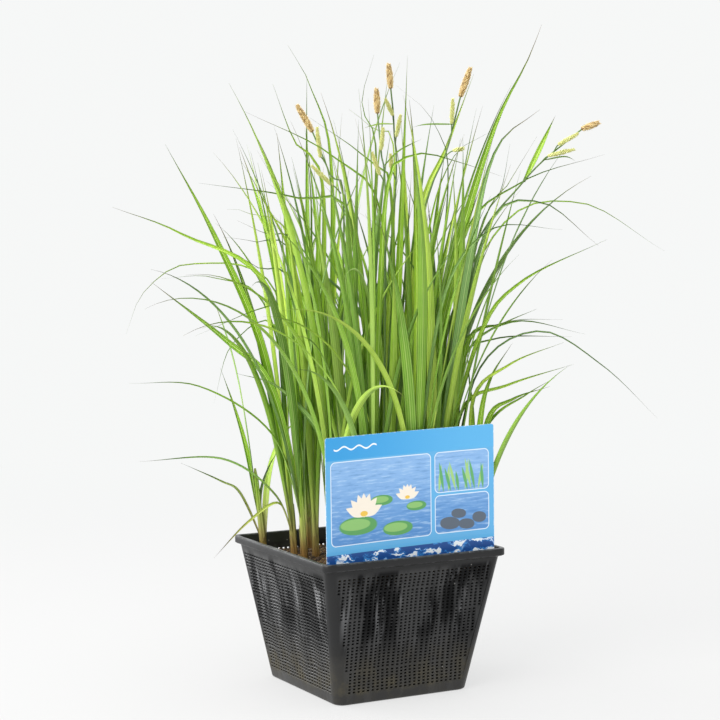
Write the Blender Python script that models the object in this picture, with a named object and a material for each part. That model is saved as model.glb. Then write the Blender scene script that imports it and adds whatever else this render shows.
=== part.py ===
# Carex sedge in a square pond basket: perforated basket, potting soil, label card,
# leafy shoots and flowering stems with their spikes.
# Metres, +Z up. The origin is the centre of the basket's foot, and -Y is the label's side.

import math
import random

import bmesh
import bpy
from mathutils import Matrix, Vector
from mathutils.bvhtree import BVHTree

MM = 0.001
SEED = 20

# Basket: outer half widths of the square, and heights.
RIM_HALF = 92.0 * MM
FOOT_HALF = 67.6 * MM
BASKET_HEIGHT = 130.5 * MM
SHOULDER_HALF = 88.0 * MM
SHOULDER_Z = 122.6 * MM
LIP_Z = 123.5 * MM
LIP_WIDTH = 4.0 * MM
FOOT_ROUND = 2.5 * MM
WALL = 2.0 * MM
FLOOR = 3.0 * MM
CORNER_RADIUS = 7.0 * MM
FOOT_RADIUS = 10.0 * MM
CORNER_STEPS = 3
SLOTS_PER_WALL = 8
SLOT_WIDTH = 0.060  # share of the wall's half width at any height
SLOT_SPREAD = 0.78
SLOT_LOW = 12.0 * MM
SLOT_HIGH = 100.0 * MM

# Soil, and how deep the shoots and stems are planted in it
SOIL_LEVEL = 116.5 * MM
SOIL_GAP = 0.4 * MM
SOIL_MOUND = 3.5 * MM
SOIL_CORNER_DROP = 1.5 * MM
PLANTING_LEVEL = 111.0 * MM
PLANTING_MOUND = 9.0 * MM
PLANTING_CORNER_DROP = 9.0 * MM
MOUND_AT = Vector((-10.0 * MM, 16.0 * MM))
MOUND_SPREAD = 46.0 * MM
SOIL_RINGS = 6
HOLE_DEPTH = 14.0 * MM
HOLE_GAP = 0.45 * MM

# Label card on two prongs, inside the front wall
CARD_WIDTH = 170.2 * MM
CARD_HEIGHT = 116.6 * MM
CARD_THICK = 0.8 * MM
CARD_CENTRE = Vector((1.2 * MM, -79.0 * MM, 123.0 * MM))
CARD_BOW = 2.4 * MM
CARD_STRIPS = (-1.0, -0.78, -0.22, 0.0, 0.22, 0.75, 1.0)
CARD_LEAN = math.radians(-0.7)
CARD_ROLL = math.radians(1.27)
PRONG_WIDTH = 11.0 * MM
PRONG_LENGTH = 30.0 * MM
PRONGS_AT = (-41.0 * MM, 37.0 * MM)
PRONG_SLANT = 0.15

# The clump is laid out in the plane that faces its showing side, a turn from the label's side.
VIEW_TURN = math.radians(29.3)
ACROSS = Vector((math.cos(VIEW_TURN), -math.sin(VIEW_TURN), 0))
TOWARD = Vector((-math.sin(VIEW_TURN), -math.cos(VIEW_TURN), 0))

# Shoots: a sheathed foot from which the blades part
SHEATH_RADIUS = 3.3 * MM
SHEATH_TOP_RADIUS = 2.2 * MM
SHEATH_HEIGHT = 88.0 * MM
SHEATH_SIDES = 5
SHOOT_LEAN = 0.11
SHOOT_SPREAD = 82.5 * MM
BLADES_PER_SHOOT = 9
BLADES_PER_LOW_SHOOT = 5
EXTRA_BLADES = {"mid_a": 1, "mid_d": 1, "mid_e": 1, "left_d": 1, "front_b": 1}
LOW_SHOOTS = ("corner", "right_d")
STATION_BEND = math.radians(15)  # one more station for each such turn of the blade's line
FEWEST_STATIONS = 4
MOST_STATIONS = 9
KEEL = 1.25 * MM
CLEARANCE = 0.4 * MM
PARTING = 30.0 * MM  # blades of one shoot may meet below this distance from their roots
ROOT_OUT = 1.8 * MM  # from the sheath's line to a blade's root
TRIES = 60

# Flowering stems
CULM_RADIUS = 1.3 * MM
CULM_TOP_RADIUS = 0.75 * MM
SPIKE_SIDES = 8
SEAT_GAP = 0.3 * MM

SHOOTS = {  # x, y on the soil, in mm
    "corner": (-72, 64), "left_a": (-52, 44), "left_b": (-58, 12), "left_c": (-25, 66),
    "left_d": (-42, 20), "back_a": (0, 72), "front_a": (-44, -22), "mid_a": (-18, -5),
    "mid_b": (-14, 34), "front_b": (-22, -48), "mid_c": (6, -24), "mid_d": (12, 6),
    "back_b": (18, 44), "front_c": (12, -56), "mid_e": (34, -12), "mid_f": (38, 26),
    "back_c": (42, 64), "front_d": (36, -46), "right_a": (58, -6), "right_b": (64, 36),
    "right_c": (60, -32), "right_d": (70, -60),
}

# The blades that make the clump's outline: shoot, width, turn about their own line in degrees,
# then places along them as (across, up) in mm, the last one being the tip.
LEADING_BLADES = {
    "far_left_arch": ("left_b", 6.5, 50, (-86, 358), (-162, 410), (-223, 434)),
    "left_spear": ("left_a", 8, 70, (-94, 302), (-137, 407), (-181, 490)),
    "left_flag": ("mid_a", 5.5, 40, (-14, 418), (-62, 442), (-148, 455)),
    "left_grey": ("left_d", 6, 60, (-62, 366), (-94, 444), (-112, 476)),
    "left_curl_a": ("left_c", 5, 35, (-70, 395), (-110, 428), (-131, 432)),
    "left_curl_b": ("left_c", 5, 40, (-59, 385), (-96, 410), (-120, 422)),
    "left_curl_c": ("mid_b", 4, 30, (-64, 383), (-104, 403), (-129, 407)),
    "left_curl_d": ("left_d", 5, 40, (-67, 360), (-96, 380), (-120, 395)),
    "left_droop_a": ("left_a", 3.5, 15, (-83, 357), (-159, 383), (-202, 358), (-219, 319)),
    "left_droop_b": ("left_c", 3, 20, (-93, 338), (-143, 368), (-194, 367)),
    "left_lance": ("left_b", 7, 60, (-86, 273), (-127, 315), (-194, 367)),
    "left_bow": ("mid_b", 3.5, 20, (-30, 343), (-86, 346), (-154, 319)),
    "left_hook": ("left_a", 3, 15, (-83, 322), (-125, 308), (-143, 252)),
    "left_low_grey": ("front_a", 6, 45, (-39, 226), (-78, 273), (-117, 286)),
    "left_low_thin": ("left_b", 3.5, 25, (-83, 230), (-146, 276), (-209, 280)),
    "corner_spear": ("corner", 4.5, 60, (-110, 207), (-121, 247), (-135, 287)),
    "corner_thin": ("corner", 3, 30, (-117, 170), (-136, 180), (-174, 196)),
    "corner_inner": ("corner", 3, 30, (-99, 165), (-93, 190), (-80, 214)),
    "left_low_drop": ("left_a", 3.5, 30, (-80, 165), (-108, 150), (-138, 119)),
    "left_low_arch": ("left_a", 3.5, 25, (-85, 172), (-133, 204), (-210, 201)),
    "top_left_a": ("back_a", 5, 60, (-33, 460), (-52, 543), (-74, 584)),
    "top_left_b": ("left_d", 6, 65, (-39, 441), (-66, 494), (-84, 543)),
    "top_left_c": ("mid_d", 5, 40, (14, 417), (-29, 478), (-110, 519)),
    "top_left_d": ("mid_c", 5.5, 45, (22, 435), (0, 476), (-51, 513)),
    "top_left_e": ("mid_d", 4.5, 60, (25, 470), (5, 506), (-17, 525)),
    "broad_left": ("left_d", 9, 75, (-50, 380), (-50, 440), (-54, 486)),
    "top_thin": ("mid_a", 4.5, 60, (8, 466), (-5, 525), (6, 572)),
    "top_lean": ("mid_c", 6.5, 60, (57, 386), (47, 421), (30, 471)),
    "top_dark": ("mid_e", 9, 70, (47, 412), (73, 490), (97, 555)),
    "top_whip": ("mid_e", 2.8, 20, (72, 440), (59, 509), (25, 542)),
    "tallest": ("mid_f", 8.5, 75, (84, 400), (118, 509), (147, 567), (161, 602)),
    "right_bright": ("front_d", 8.5, 70, (89, 378), (112, 482), (151, 519)),
    "right_curl_a": ("mid_c", 4.5, 35, (52, 400), (75, 476), (110, 501)),
    "right_flag": ("front_b", 5.5, 40, (16, 441), (43, 479), (73, 476), (120, 461)),
    "right_reach": ("right_a", 4.5, 30, (85, 395), (141, 456), (221, 483)),
    "right_droop_a": ("mid_f", 3.8, 20, (112, 402), (190, 439), (271, 394)),
    "right_droop_b": ("front_d", 5.5, 45, (102, 404), (150, 439), (204, 400)),
    "right_curl_b": ("front_c", 4.5, 35, (66, 350), (109, 414), (173, 414)),
    "right_mid_lance": ("front_d", 5, 40, (99, 315), (137, 366), (216, 405)),
    "right_mid_broad": ("right_c", 6, 50, (90, 307), (125, 327), (157, 340)),
    "right_mid_thin": ("right_a", 3.2, 20, (80, 300), (125, 330), (176, 333)),
    "right_long_droop": ("right_c", 3.5, 15, (100, 285), (156, 322), (215, 290), (266, 241)),
    "right_mid_flag": ("right_a", 4, 30, (86, 290), (135, 328), (203, 316)),
    "right_mid_level": ("right_b", 3.8, 30, (82, 285), (120, 312), (190, 314)),
    "right_low_a": ("right_d", 5, 45, (94, 259), (127, 294), (175, 314)),
    "right_low_b": ("right_c", 5, 40, (86, 251), (127, 274), (186, 293)),
    "right_low_c": ("right_d", 6, 45, (108, 240), (132, 260), (167, 271)),
    "right_low_d": ("right_c", 4.5, 45, (108, 236), (143, 265), (169, 281)),
    "right_yellow": ("right_d", 6, 65, (101, 239), (110, 280), (130, 313)),
    "right_upright": ("right_d", 4, 60, (96, 239), (93, 278), (90, 323)),
    "right_thin_a": ("right_a", 3.2, 50, (100, 400), (122, 447), (131, 492)),
    "right_thin_b": ("right_b", 3.2, 50, (105, 410), (130, 455), (156, 499)),
}

# Flowering stems: foot (x, y) in mm, then places along the stem as (across, up) in mm up to the
# foot of its end spike, then the end spike's tip.
CULMS = {
    "culm_1": ((-30, 6), (-21, 427), (-33, 462), (-49, 501), (-63, 525)),
    "culm_2": ((-4, -36), (16, 427), (12, 483), (9, 517), (8, 539)),
    "culm_3": ((4, 20), (24, 427), (24, 505), (21, 540), (19, 562)),
    "culm_4": ((24, -30), (46, 400), (71, 485), (83, 532), (92, 558)),
    "culm_5": ((50, 14), (88, 370), (142, 457), (193, 504), (209, 510)),
}

# Side spikes: stem, place of the spike's foot and tip as (across, up) in mm.
SIDE_SPIKES = {
    "culm_1": [((-42, 478), (-45, 505)), ((-31, 453), (-50, 471))],
    "culm_2": [((12, 484), (14, 504)), ((11, 462), (4, 482))],
    "culm_3": [((23, 516), (16, 531)), ((26, 497), (30, 517)), ((22, 466), (21, 482))],
    "culm_4": [((75, 508), (76, 530)), ((76, 484), (86, 486))],
    "culm_5": [((172, 490), (190, 500)), ((163, 480), (187, 486))],
}
SPIKE_RADIUS = 2.3 * MM
SIDE_SPIKE_RADIUS = 1.8 * MM
SIDE_SPIKE_AWAY = 4.2 * MM  # from the stem's line to the side spike's

# Bracts, the small leaves below a side spike: stem, width, then places as for a blade.
BRACTS = {
    "bract_1": ("culm_3", 2.2, 20, (24, 509), (10, 509), (-4, 505)),
    "bract_2": ("culm_2", 2.2, 20, (14, 470), (28, 484), (48, 494)),
    "bract_3": ("culm_4", 2.4, 20, (74, 508), (53, 508), (40, 505)),
    "bract_4": ("culm_5", 5.0, 60, (142, 457), (156, 485), (171, 517)),
    "bract_5": ("culm_5", 2.2, 20, (160, 477), (180, 480), (190, 475)),
}


def clear_scene():
    for obj in list(bpy.data.objects):
        bpy.data.objects.remove(obj)


def material(name, colour, roughness):
    made = bpy.data.materials.new(name)
    made.use_nodes = True
    shader = made.node_tree.nodes["Principled BSDF"]
    shader.inputs["Base Color"].default_value = (*colour, 1)
    shader.inputs["Roughness"].default_value = roughness
    shader.inputs["Metallic"].default_value = 0.0
    return made


def object_from(name, bm, finish=None):
    mesh = bpy.data.meshes.new(name)
    bm.to_mesh(mesh)
    bm.free()
    obj = bpy.data.objects.new(name, mesh)
    bpy.context.scene.collection.objects.link(obj)
    if finish:
        mesh.materials.append(finish)
    return obj


def bridged(bm, rings):
    """Walls between rings of equal count, and a face on the first and the last ring."""
    loops = [[bm.verts.new(p) for p in ring] for ring in rings]
    for low, high in zip(loops, loops[1:]):
        for i in range(len(low)):
            k = (i + 1) % len(low)
            bm.faces.new((low[i], low[k], high[k], high[i]))
    bm.faces.new(list(reversed(loops[0])))
    bm.faces.new(loops[-1])
    bmesh.ops.recalc_face_normals(bm, faces=bm.faces)


def apply_boolean(obj, others, operation):
    """One Boolean of the object with all the others, applied, and the others removed."""
    group = bpy.data.collections.new(obj.name + "_tools")
    for other in others:
        for owner in list(other.users_collection):
            owner.objects.unlink(other)
        group.objects.link(other)
    bpy.context.scene.collection.children.link(group)
    step = obj.modifiers.new("join" if operation == "UNION" else "cut", "BOOLEAN")
    step.operation = operation
    step.operand_type = "COLLECTION"
    step.collection = group
    step.solver = "EXACT"
    graph = bpy.context.evaluated_depsgraph_get()
    made = bpy.data.meshes.new_from_object(obj.evaluated_get(graph))
    obj.modifiers.clear()
    obj.data = made
    for other in list(group.objects):
        bpy.data.objects.remove(other)
    bpy.data.collections.remove(group)


def close_cavities(obj):
    """Keeps the outer skin of a joined body, so that no small void is left shut inside it."""
    bm = bmesh.new()
    bm.from_mesh(obj.data)
    left, skins = set(bm.verts), []
    while left:
        skin, edge_of = set(), [left.pop()]
        while edge_of:
            vert = edge_of.pop()
            skin.add(vert)
            near = {e.other_vert(vert) for e in vert.link_edges} & left
            left -= near
            edge_of.extend(near)
        skins.append(skin)
    skins.sort(key=len)
    for skin in skins[:-1]:
        bmesh.ops.delete(bm, geom=list(skin), context="VERTS")
    bm.to_mesh(obj.data)
    bm.free()


def smooth(t):
    t = min(max(t, 0.0), 1.0)
    return t * t * (3 - 2 * t)


# Basket


def square_ring(half, z, radius=CORNER_RADIUS):
    """A square outline with round corners, anticlockwise."""
    points = []
    for corner in range(4):
        turn = math.pi / 4 + corner * math.pi / 2
        centre = Vector((math.cos(turn), math.sin(turn))) * math.sqrt(2) * (half - radius)
        for step in range(CORNER_STEPS + 1):
            angle = turn - math.pi / 4 + step / CORNER_STEPS * math.pi / 2
            points.append(
                Vector((centre.x + radius * math.cos(angle), centre.y + radius * math.sin(angle), z))
            )
    return points


def wall_share(z):
    """How far up the tapering wall a height is, from its foot to its shoulder."""
    return (z - FOOT_ROUND) / (SHOULDER_Z - FOOT_ROUND)


def wall_half(z):
    """Outer half width of the wall."""
    return FOOT_HALF + (SHOULDER_HALF - FOOT_HALF) * wall_share(z)


def inner_ring(z, gap=0.0):
    """The outline of the wall's inner side at a height, drawn in by a gap."""
    radius = FOOT_RADIUS + (CORNER_RADIUS - FOOT_RADIUS) * wall_share(z)
    return square_ring(wall_half(z) - WALL - gap, z, radius - WALL)


def slot_cutter(name, centre_share):
    """A wedge through the front and back walls, its sides leaning with the wall's own taper."""
    bm = bmesh.new()
    reach = 2 * RIM_HALF
    outline = []
    for z, sides in ((SLOT_LOW, (-1, 1)), (SLOT_HIGH, (1, -1))):
        for side in sides:
            outline.append((wall_half(z) * (centre_share + side * SLOT_WIDTH / 2), z))
    rings = [[Vector((x, y, z)) for x, z in outline] for y in (-reach, reach)]
    bridged(bm, rings)
    return object_from(name, bm)


def make_basket(finish):
    bm = bmesh.new()
    rings = [
        square_ring(FOOT_HALF - FOOT_ROUND, 0, FOOT_RADIUS - FOOT_ROUND),
        square_ring(FOOT_HALF, FOOT_ROUND, FOOT_RADIUS),
        square_ring(SHOULDER_HALF, SHOULDER_Z),
        square_ring(RIM_HALF, LIP_Z),
        square_ring(RIM_HALF, BASKET_HEIGHT),
        square_ring(RIM_HALF - LIP_WIDTH, BASKET_HEIGHT, CORNER_RADIUS - WALL),
        inner_ring(SHOULDER_Z),
        inner_ring(FLOOR),
    ]
    bridged(bm, rings)
    basket = object_from("pond_basket", bm, finish)
    shares = [
        SLOT_SPREAD * (2 * i / (SLOTS_PER_WALL - 1) - 1) for i in range(SLOTS_PER_WALL)
    ]
    for turn in (0, math.pi / 2):
        cutters = [slot_cutter(f"slot_{i}", share) for i, share in enumerate(shares)]
        for cutter in cutters:
            cutter.data.transform(Matrix.Rotation(turn, 4, "Z"))
        apply_boolean(basket, cutters, "DIFFERENCE")
    return basket


# Soil


def heaped(x, y, level, mound, corner_drop):
    """A lumpy surface, low in the corners and heaped up round the feet of the shoots."""
    away = (Vector((x, y)) - MOUND_AT).length
    heap = mound * math.exp(-((away / MOUND_SPREAD) ** 2))
    corner = corner_drop * smooth((math.hypot(x, y) - 70 * MM) / (40 * MM))
    lumps = 1.1 * MM * math.sin(x / (7.3 * MM) + 1.1) * math.sin(y / (8.9 * MM) + 0.4)
    lumps += 0.7 * MM * math.sin((x + 1.7 * y) / (5.1 * MM))
    return level + heap - corner + lumps


def soil_height(x, y):
    return heaped(x, y, SOIL_LEVEL, SOIL_MOUND, SOIL_CORNER_DROP)


def planting_height(x, y):
    return heaped(x, y, PLANTING_LEVEL, PLANTING_MOUND, PLANTING_CORNER_DROP)


def make_soil(finish, cutters):
    bm = bmesh.new()
    rings = [inner_ring(FLOOR + SOIL_GAP, SOIL_GAP)]
    edge = inner_ring(SOIL_LEVEL - 2 * SOIL_CORNER_DROP, SOIL_GAP)
    for i in range(SOIL_RINGS):
        share = 1 - i / SOIL_RINGS
        ring = [Vector((p.x * share, p.y * share, 0)) for p in edge]
        for point in ring:
            point.z = soil_height(point.x, point.y)
        rings.append(ring)
    bridged(bm, rings)
    bmesh.ops.triangulate(bm, faces=[f for f in bm.faces if f.calc_center_median().z > 0.05])
    soil = object_from("potting_soil", bm, finish)
    apply_boolean(soil, cutters, "DIFFERENCE")
    return soil


# Label card


def card_place():
    """From the card's own plane (x across, z up from its lower edge) to the basket."""
    lean = Matrix.Rotation(-CARD_LEAN, 4, "X")
    roll = Matrix.Rotation(-CARD_ROLL, 4, "Y")
    return Matrix.Translation(CARD_CENTRE) @ lean @ roll


def card_rows(grow):
    """Pairs (x, lower z, upper z) of the card's strips, and the three points of each prong."""
    half, top = CARD_WIDTH / 2, CARD_HEIGHT + grow
    xs = [share * half + math.copysign(grow, share) * (abs(share) == 1) for share in CARD_STRIPS]
    prongs = []
    for at in PRONGS_AT:
        side = PRONG_WIDTH / 2 + grow
        xs += [at - side, at, at + side]
        shoulder, point = -0.7 * PRONG_LENGTH - grow, -PRONG_LENGTH - 2 * grow
        prongs.append([(at - side, shoulder), (at, point), (at + side, shoulder)])
    return [(x, -grow, top) for x in sorted(xs)], prongs


def card_solid(name, thick, grow=0.0, finish=None):
    """The card, slightly bowed, standing on two pointed prongs."""
    rows, prongs = card_rows(grow)
    bm = bmesh.new()
    made = {}

    def at(x, z, y):
        key = (round(x * 1e6), round(z * 1e6), y)
        if key not in made:
            back = CARD_BOW * (1 - (x / (CARD_WIDTH / 2)) ** 2) + PRONG_SLANT * max(0, -z)
            made[key] = bm.verts.new((x, back + y * thick / 2, z))
        return made[key]

    cells = []
    for (x, low, high), (nx, _, _) in zip(rows, rows[1:]):
        cells.append([(x, low), (nx, low), (nx, high), (x, high)])
    for left, point, right in prongs:
        middle = (point[0], -grow)
        cells.append([left, point, middle, (left[0], -grow)])
        cells.append([point, right, (right[0], -grow), middle])
    edges = {}
    for cell in cells:
        bm.faces.new([at(x, z, -1) for x, z in cell])
        bm.faces.new([at(x, z, 1) for x, z in reversed(cell)])
        for p, q in zip(cell, cell[1:] + cell[:1]):
            edges[(p, q)] = edges.get((q, p), 0) + 1
    for (p, q), count in edges.items():
        if (q, p) not in edges:
            bm.faces.new((at(*p, -1), at(*p, 1), at(*q, 1), at(*q, -1)))
    bmesh.ops.recalc_face_normals(bm, faces=bm.faces)
    card = object_from(name, bm, finish)
    card.data.transform(card_place())
    return card


# Lines that shoots, blades and stems follow


def on_view(across, up, toward):
    """A place given in mm across and up, and in metres towards the showing side."""
    return ACROSS * across * MM + TOWARD * toward + Vector((0, 0, up * MM))


def spline(points):
    """A smooth line through the points, in fine steps."""
    ends = [points[0] * 2 - points[1]] + points + [points[-1] * 2 - points[-2]]
    fine = []
    for a, b, c, d in zip(ends, ends[1:], ends[2:], ends[3:]):
        for i in range(12):
            t = i / 12
            fine.append(
                0.5 * (2 * b + (c - a) * t + (2 * a - 5 * b + 4 * c - d) * t * t
                       + (3 * b - a - 3 * c + d) * t**3)
            )
    fine.append(points[-1])
    return fine


def lengths(line):
    """How far along the line each of its points is."""
    gone = [0.0]
    for a, b in zip(line, line[1:]):
        gone.append(gone[-1] + (b - a).length)
    return gone


def sampled(line, measure, steps):
    """Points at even steps of a measure that grows along the line."""
    made, k = [], 0
    for i in range(steps + 1):
        want = measure[-1] * i / steps
        while k < len(line) - 2 and measure[k + 1] < want:
            k += 1
        share = (want - measure[k]) / max(measure[k + 1] - measure[k], 1e-9)
        made.append(line[k].lerp(line[k + 1], share))
    return made


def bends(line):
    """How much the line has turned up to each of its points."""
    turned = [0.0, 0.0]
    for a, b, c in zip(line, line[1:], line[2:]):
        turned.append(turned[-1] + (b - a).angle(c - b, 0.0))
    return turned


def stations(line, least=FEWEST_STATIONS, most=MOST_STATIONS):
    """Few points along the line, closer together where it bends more."""
    even = sampled(line, lengths(line), 40)
    gone, turned = lengths(even), bends(even)
    count = min(max(least - 1 + round(turned[-1] / STATION_BEND), least), most)
    whole = max(turned[-1], 1e-6)
    measure = [g / gone[-1] + 0.9 * t / whole for g, t in zip(gone, turned)]
    return sampled(even, measure, count)


def arching_line(root, azimuth, lean, arch, bend_power, length):
    """A blade's line: it leaves at the lean and bows over by the arch towards its tip."""
    steps = 40
    point = root.copy()
    line = [point.copy()]
    for i in range(steps):
        s = (i + 0.5) / steps
        tilt = lean + arch * s**bend_power
        flat = Vector((math.cos(azimuth), math.sin(azimuth), 0))
        point = point + (flat * math.sin(tilt) + Vector((0, 0, math.cos(tilt)))) * length / steps
        line.append(point.copy())
    return line


def blade_width(s):
    """Share of the full width: narrow where it leaves the sheath, long and fine to the tip."""
    return (0.55 + 0.45 * smooth(s / 0.3)) * (1 - smooth((s - 0.42) / 0.62) ** 1.2)


def frames(line, turn, twist, shares):
    """(tangent, side, upper face) at each station, turned about the line."""
    out = line[-1] - line[0]
    out.z = 0
    out = out.normalized() if out.length > 1e-6 else Vector((1, 0, 0))
    level = Vector((0, 0, 1)).cross(out)
    made = []
    for i in range(len(line)):
        tangent = (line[min(i + 1, len(line) - 1)] - line[max(i - 1, 0)]).normalized()
        side = (level - tangent * level.dot(tangent)).normalized()
        spin = Matrix.Rotation(turn + twist * shares[i], 3, tangent)
        side = spin @ side
        made.append((tangent, side, tangent.cross(side)))
    return made


def section_points(blade, i, grow):
    """Left edge, keel and right edge of a blade at a station, and its crease if it grows."""
    line, width = blade["line"], blade["width"]
    s = blade["shares"][i]
    tangent, side, face = blade["frames"][i]
    half = max(width * blade_width(s) / 2, 0.25 * MM) + grow
    keel = KEEL * min(1.0, 0.45 + half / (3 * MM)) + grow
    return line[i] + side * half, line[i] - face * keel, line[i] - side * half, line[i] + face * grow


def make_blade(line, width, turn, twist):
    line = stations(line)
    gone = lengths(line)
    shares = [g / gone[-1] for g in gone]
    return {"line": line, "width": width, "shares": shares, "frames": frames(line, turn, twist, shares)}


def blade_mesh(bm, blade):
    """A keeled blade: flat above, ridged below, closed to a point."""
    last = len(blade["line"]) - 1
    rings = [
        [bm.verts.new(p) for p in section_points(blade, i, 0)[:3]] for i in range(last)
    ]
    tip = bm.verts.new(blade["line"][last])
    bm.faces.new(rings[0])
    for low, high in zip(rings, rings[1:]):
        for a in range(3):
            b = (a + 1) % 3
            bm.faces.new((low[a], low[b], high[b]))
            bm.faces.new((low[a], high[b], high[a]))
    for a in range(3):
        bm.faces.new((rings[-1][a], rings[-1][(a + 1) % 3], tip))
    bmesh.ops.recalc_face_normals(bm, faces=bm.faces)


def blade_guard(blade, beyond=0.0):
    """A slightly fatter skin of the blade, as (points, faces), for finding where blades meet."""
    points, faces = [], []
    last = len(blade["line"]) - 1
    whole = lengths(blade["line"])[-1]
    first = next(i for i, s in enumerate(blade["shares"]) if s * whole >= beyond or i == last - 1)
    for i in range(first, last + 1):
        points.extend(section_points(blade, i, CLEARANCE))
    for i in range(last - first):
        for a in range(4):
            b = (a + 1) % 4
            faces.append((4 * i + a, 4 * i + b, 4 * i + 4 + b, 4 * i + 4 + a))
    return points, faces


def tube_guard(line, radius, sides=6):
    points, faces = [], []
    for i, ring in enumerate(tube_rings(line, lambda s: radius, sides)):
        points.extend(ring)
        if i:
            base = (i - 1) * sides
            for a in range(sides):
                b = (a + 1) % sides
                faces.append((base + a, base + b, base + sides + b, base + sides + a))
    return points, faces


def tube_rings(line, radius_at, sides, turn=0.0):
    """Rings of a tube round a line; radius_at takes the share of the length."""
    rings = []
    for i in range(len(line)):
        tangent = (line[min(i + 1, len(line) - 1)] - line[max(i - 1, 0)]).normalized()
        first = tangent.cross(Vector((0, 1, 0))).normalized()
        second = tangent.cross(first)
        radius = radius_at(i / (len(line) - 1))
        ring = []
        for k in range(sides):
            angle = turn + 2 * math.pi * k / sides
            ring.append(line[i] + (first * math.cos(angle) + second * math.sin(angle)) * radius)
        rings.append(ring)
    return rings


class Space:
    """What is already planted: a guard skin for each node, so that nothing crosses another."""

    def __init__(self):
        self.skins = []
        self.own = {}

    def add(self, owner, guard):
        self.skins.append((owner, BVHTree.FromPolygons(*guard)))

    def add_blade(self, owner, blade):
        self.add(owner, blade_guard(blade))
        upper = BVHTree.FromPolygons(*blade_guard(blade, PARTING))
        self.own.setdefault(owner, []).append(upper)

    def crossings(self, owner, blade):
        """How many nodes, and parted blades of its own shoot, a blade would cross."""
        whole = BVHTree.FromPolygons(*blade_guard(blade))
        upper = BVHTree.FromPolygons(*blade_guard(blade, PARTING))
        met = sum(1 for other, skin in self.skins if other != owner and whole.overlap(skin))
        return met + sum(1 for skin in self.own.get(owner, []) if upper.overlap(skin))


# Shoots


def shoot_foot(x, y):
    return Vector((x * MM, y * MM, planting_height(x * MM, y * MM)))


def shoot_axis(foot):
    """A shoot leans a little away from the middle of the clump."""
    out = Vector((foot.x - MOUND_AT.x, foot.y - MOUND_AT.y, 0)) / SHOOT_SPREAD
    return (Vector((0, 0, 1)) + out * SHOOT_LEAN).normalized()


def sheath_line(foot, height):
    axis = shoot_axis(foot)
    start = foot - axis * (HOLE_DEPTH - 2 * MM)
    return [start + axis * (height + HOLE_DEPTH) * t for t in (0.0, 0.5, 0.93, 1.0)]


def sheath_radius(s):
    """Swollen at the foot, slim above, drawn in at the very top."""
    if s > 0.99:
        return 0.9 * MM
    return SHEATH_RADIUS + (SHEATH_TOP_RADIUS - SHEATH_RADIUS) * smooth(s / 0.92)


def leading_blade(row, foot, axis, toward_tip):
    """A blade through the places of its row, drifting from its shoot to its tip's depth."""
    shoot, width, turn, *places = row
    rise = min(max(0.30 * (places[0][1] * MM - foot.z), 14 * MM), 66 * MM)
    root = foot + axis * rise
    start = root.dot(TOWARD)
    points = [root - axis * 20 * MM, root]
    for i, (across, up) in enumerate(places):
        share = smooth((i + 1) / len(places))
        points.append(on_view(across, up, start + (toward_tip - start) * share))
    line = spline(points)[12:]
    side = 1 if places[-1][0] * MM > root.dot(ACROSS) else -1
    turned = side * math.radians(turn)
    return make_blade(line, width * MM, turned * 0.8, turned * 0.4)


def place_leading(row, foot, axis, space, drift):
    """The blade at the depth nearest the drawn one where it crosses nothing."""
    best = None
    for attempt in range(TRIES):
        shift = (attempt + 1) // 2 * 5 * MM * (1 if attempt % 2 else -1)
        blade = leading_blade(row, foot, axis, foot.dot(TOWARD) + drift + shift)
        met = space.crossings(row[0], blade)
        if best is None or met < best[0]:
            best = (met, blade)
        if met == 0:
            break
    return best


def filling_blade(draw, foot, axis, low):
    """One blade drawn at random: mostly upright, some bowing to the front or the back."""
    rise = SHEATH_HEIGHT * (0.20 + 0.62 * draw.random())
    root = foot + axis * rise
    kind = draw.random()
    azimuth = draw.uniform(-math.pi, math.pi)
    if kind < 0.58:
        lean, arch, length = draw.uniform(1, 6), draw.uniform(6, 28), draw.uniform(270, 390)
    elif kind < 0.84:
        lean, arch, length = draw.uniform(2, 8), draw.uniform(28, 62), draw.uniform(250, 360)
    else:
        facing = math.atan2(TOWARD.y, TOWARD.x) + (math.pi if draw.random() < 0.5 else 0)
        azimuth = facing + math.radians(draw.uniform(-55, 55))
        lean, arch, length = draw.uniform(6, 14), draw.uniform(70, 112), draw.uniform(230, 330)
    if low:
        length *= 0.6
    width = draw.uniform(5.2, 9.8) * MM
    root += Vector((math.cos(azimuth), math.sin(azimuth), 0)) * ROOT_OUT
    line = arching_line(
        root, azimuth, math.radians(lean), math.radians(arch), draw.uniform(1.3, 2.6), length * MM
    )
    out = Vector((axis.x, axis.y, 0))
    line = [p + out * (p.z - root.z) for p in line]
    turn = math.radians(draw.uniform(-70, 70))
    return make_blade(line, width, turn, math.radians(draw.uniform(-45, 45)))


def place_filling(draw, owner, foot, axis, space):
    for _ in range(TRIES):
        blade = filling_blade(draw, foot, axis, owner in LOW_SHOOTS)
        if space.crossings(owner, blade) == 0:
            return blade
    return None


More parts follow.
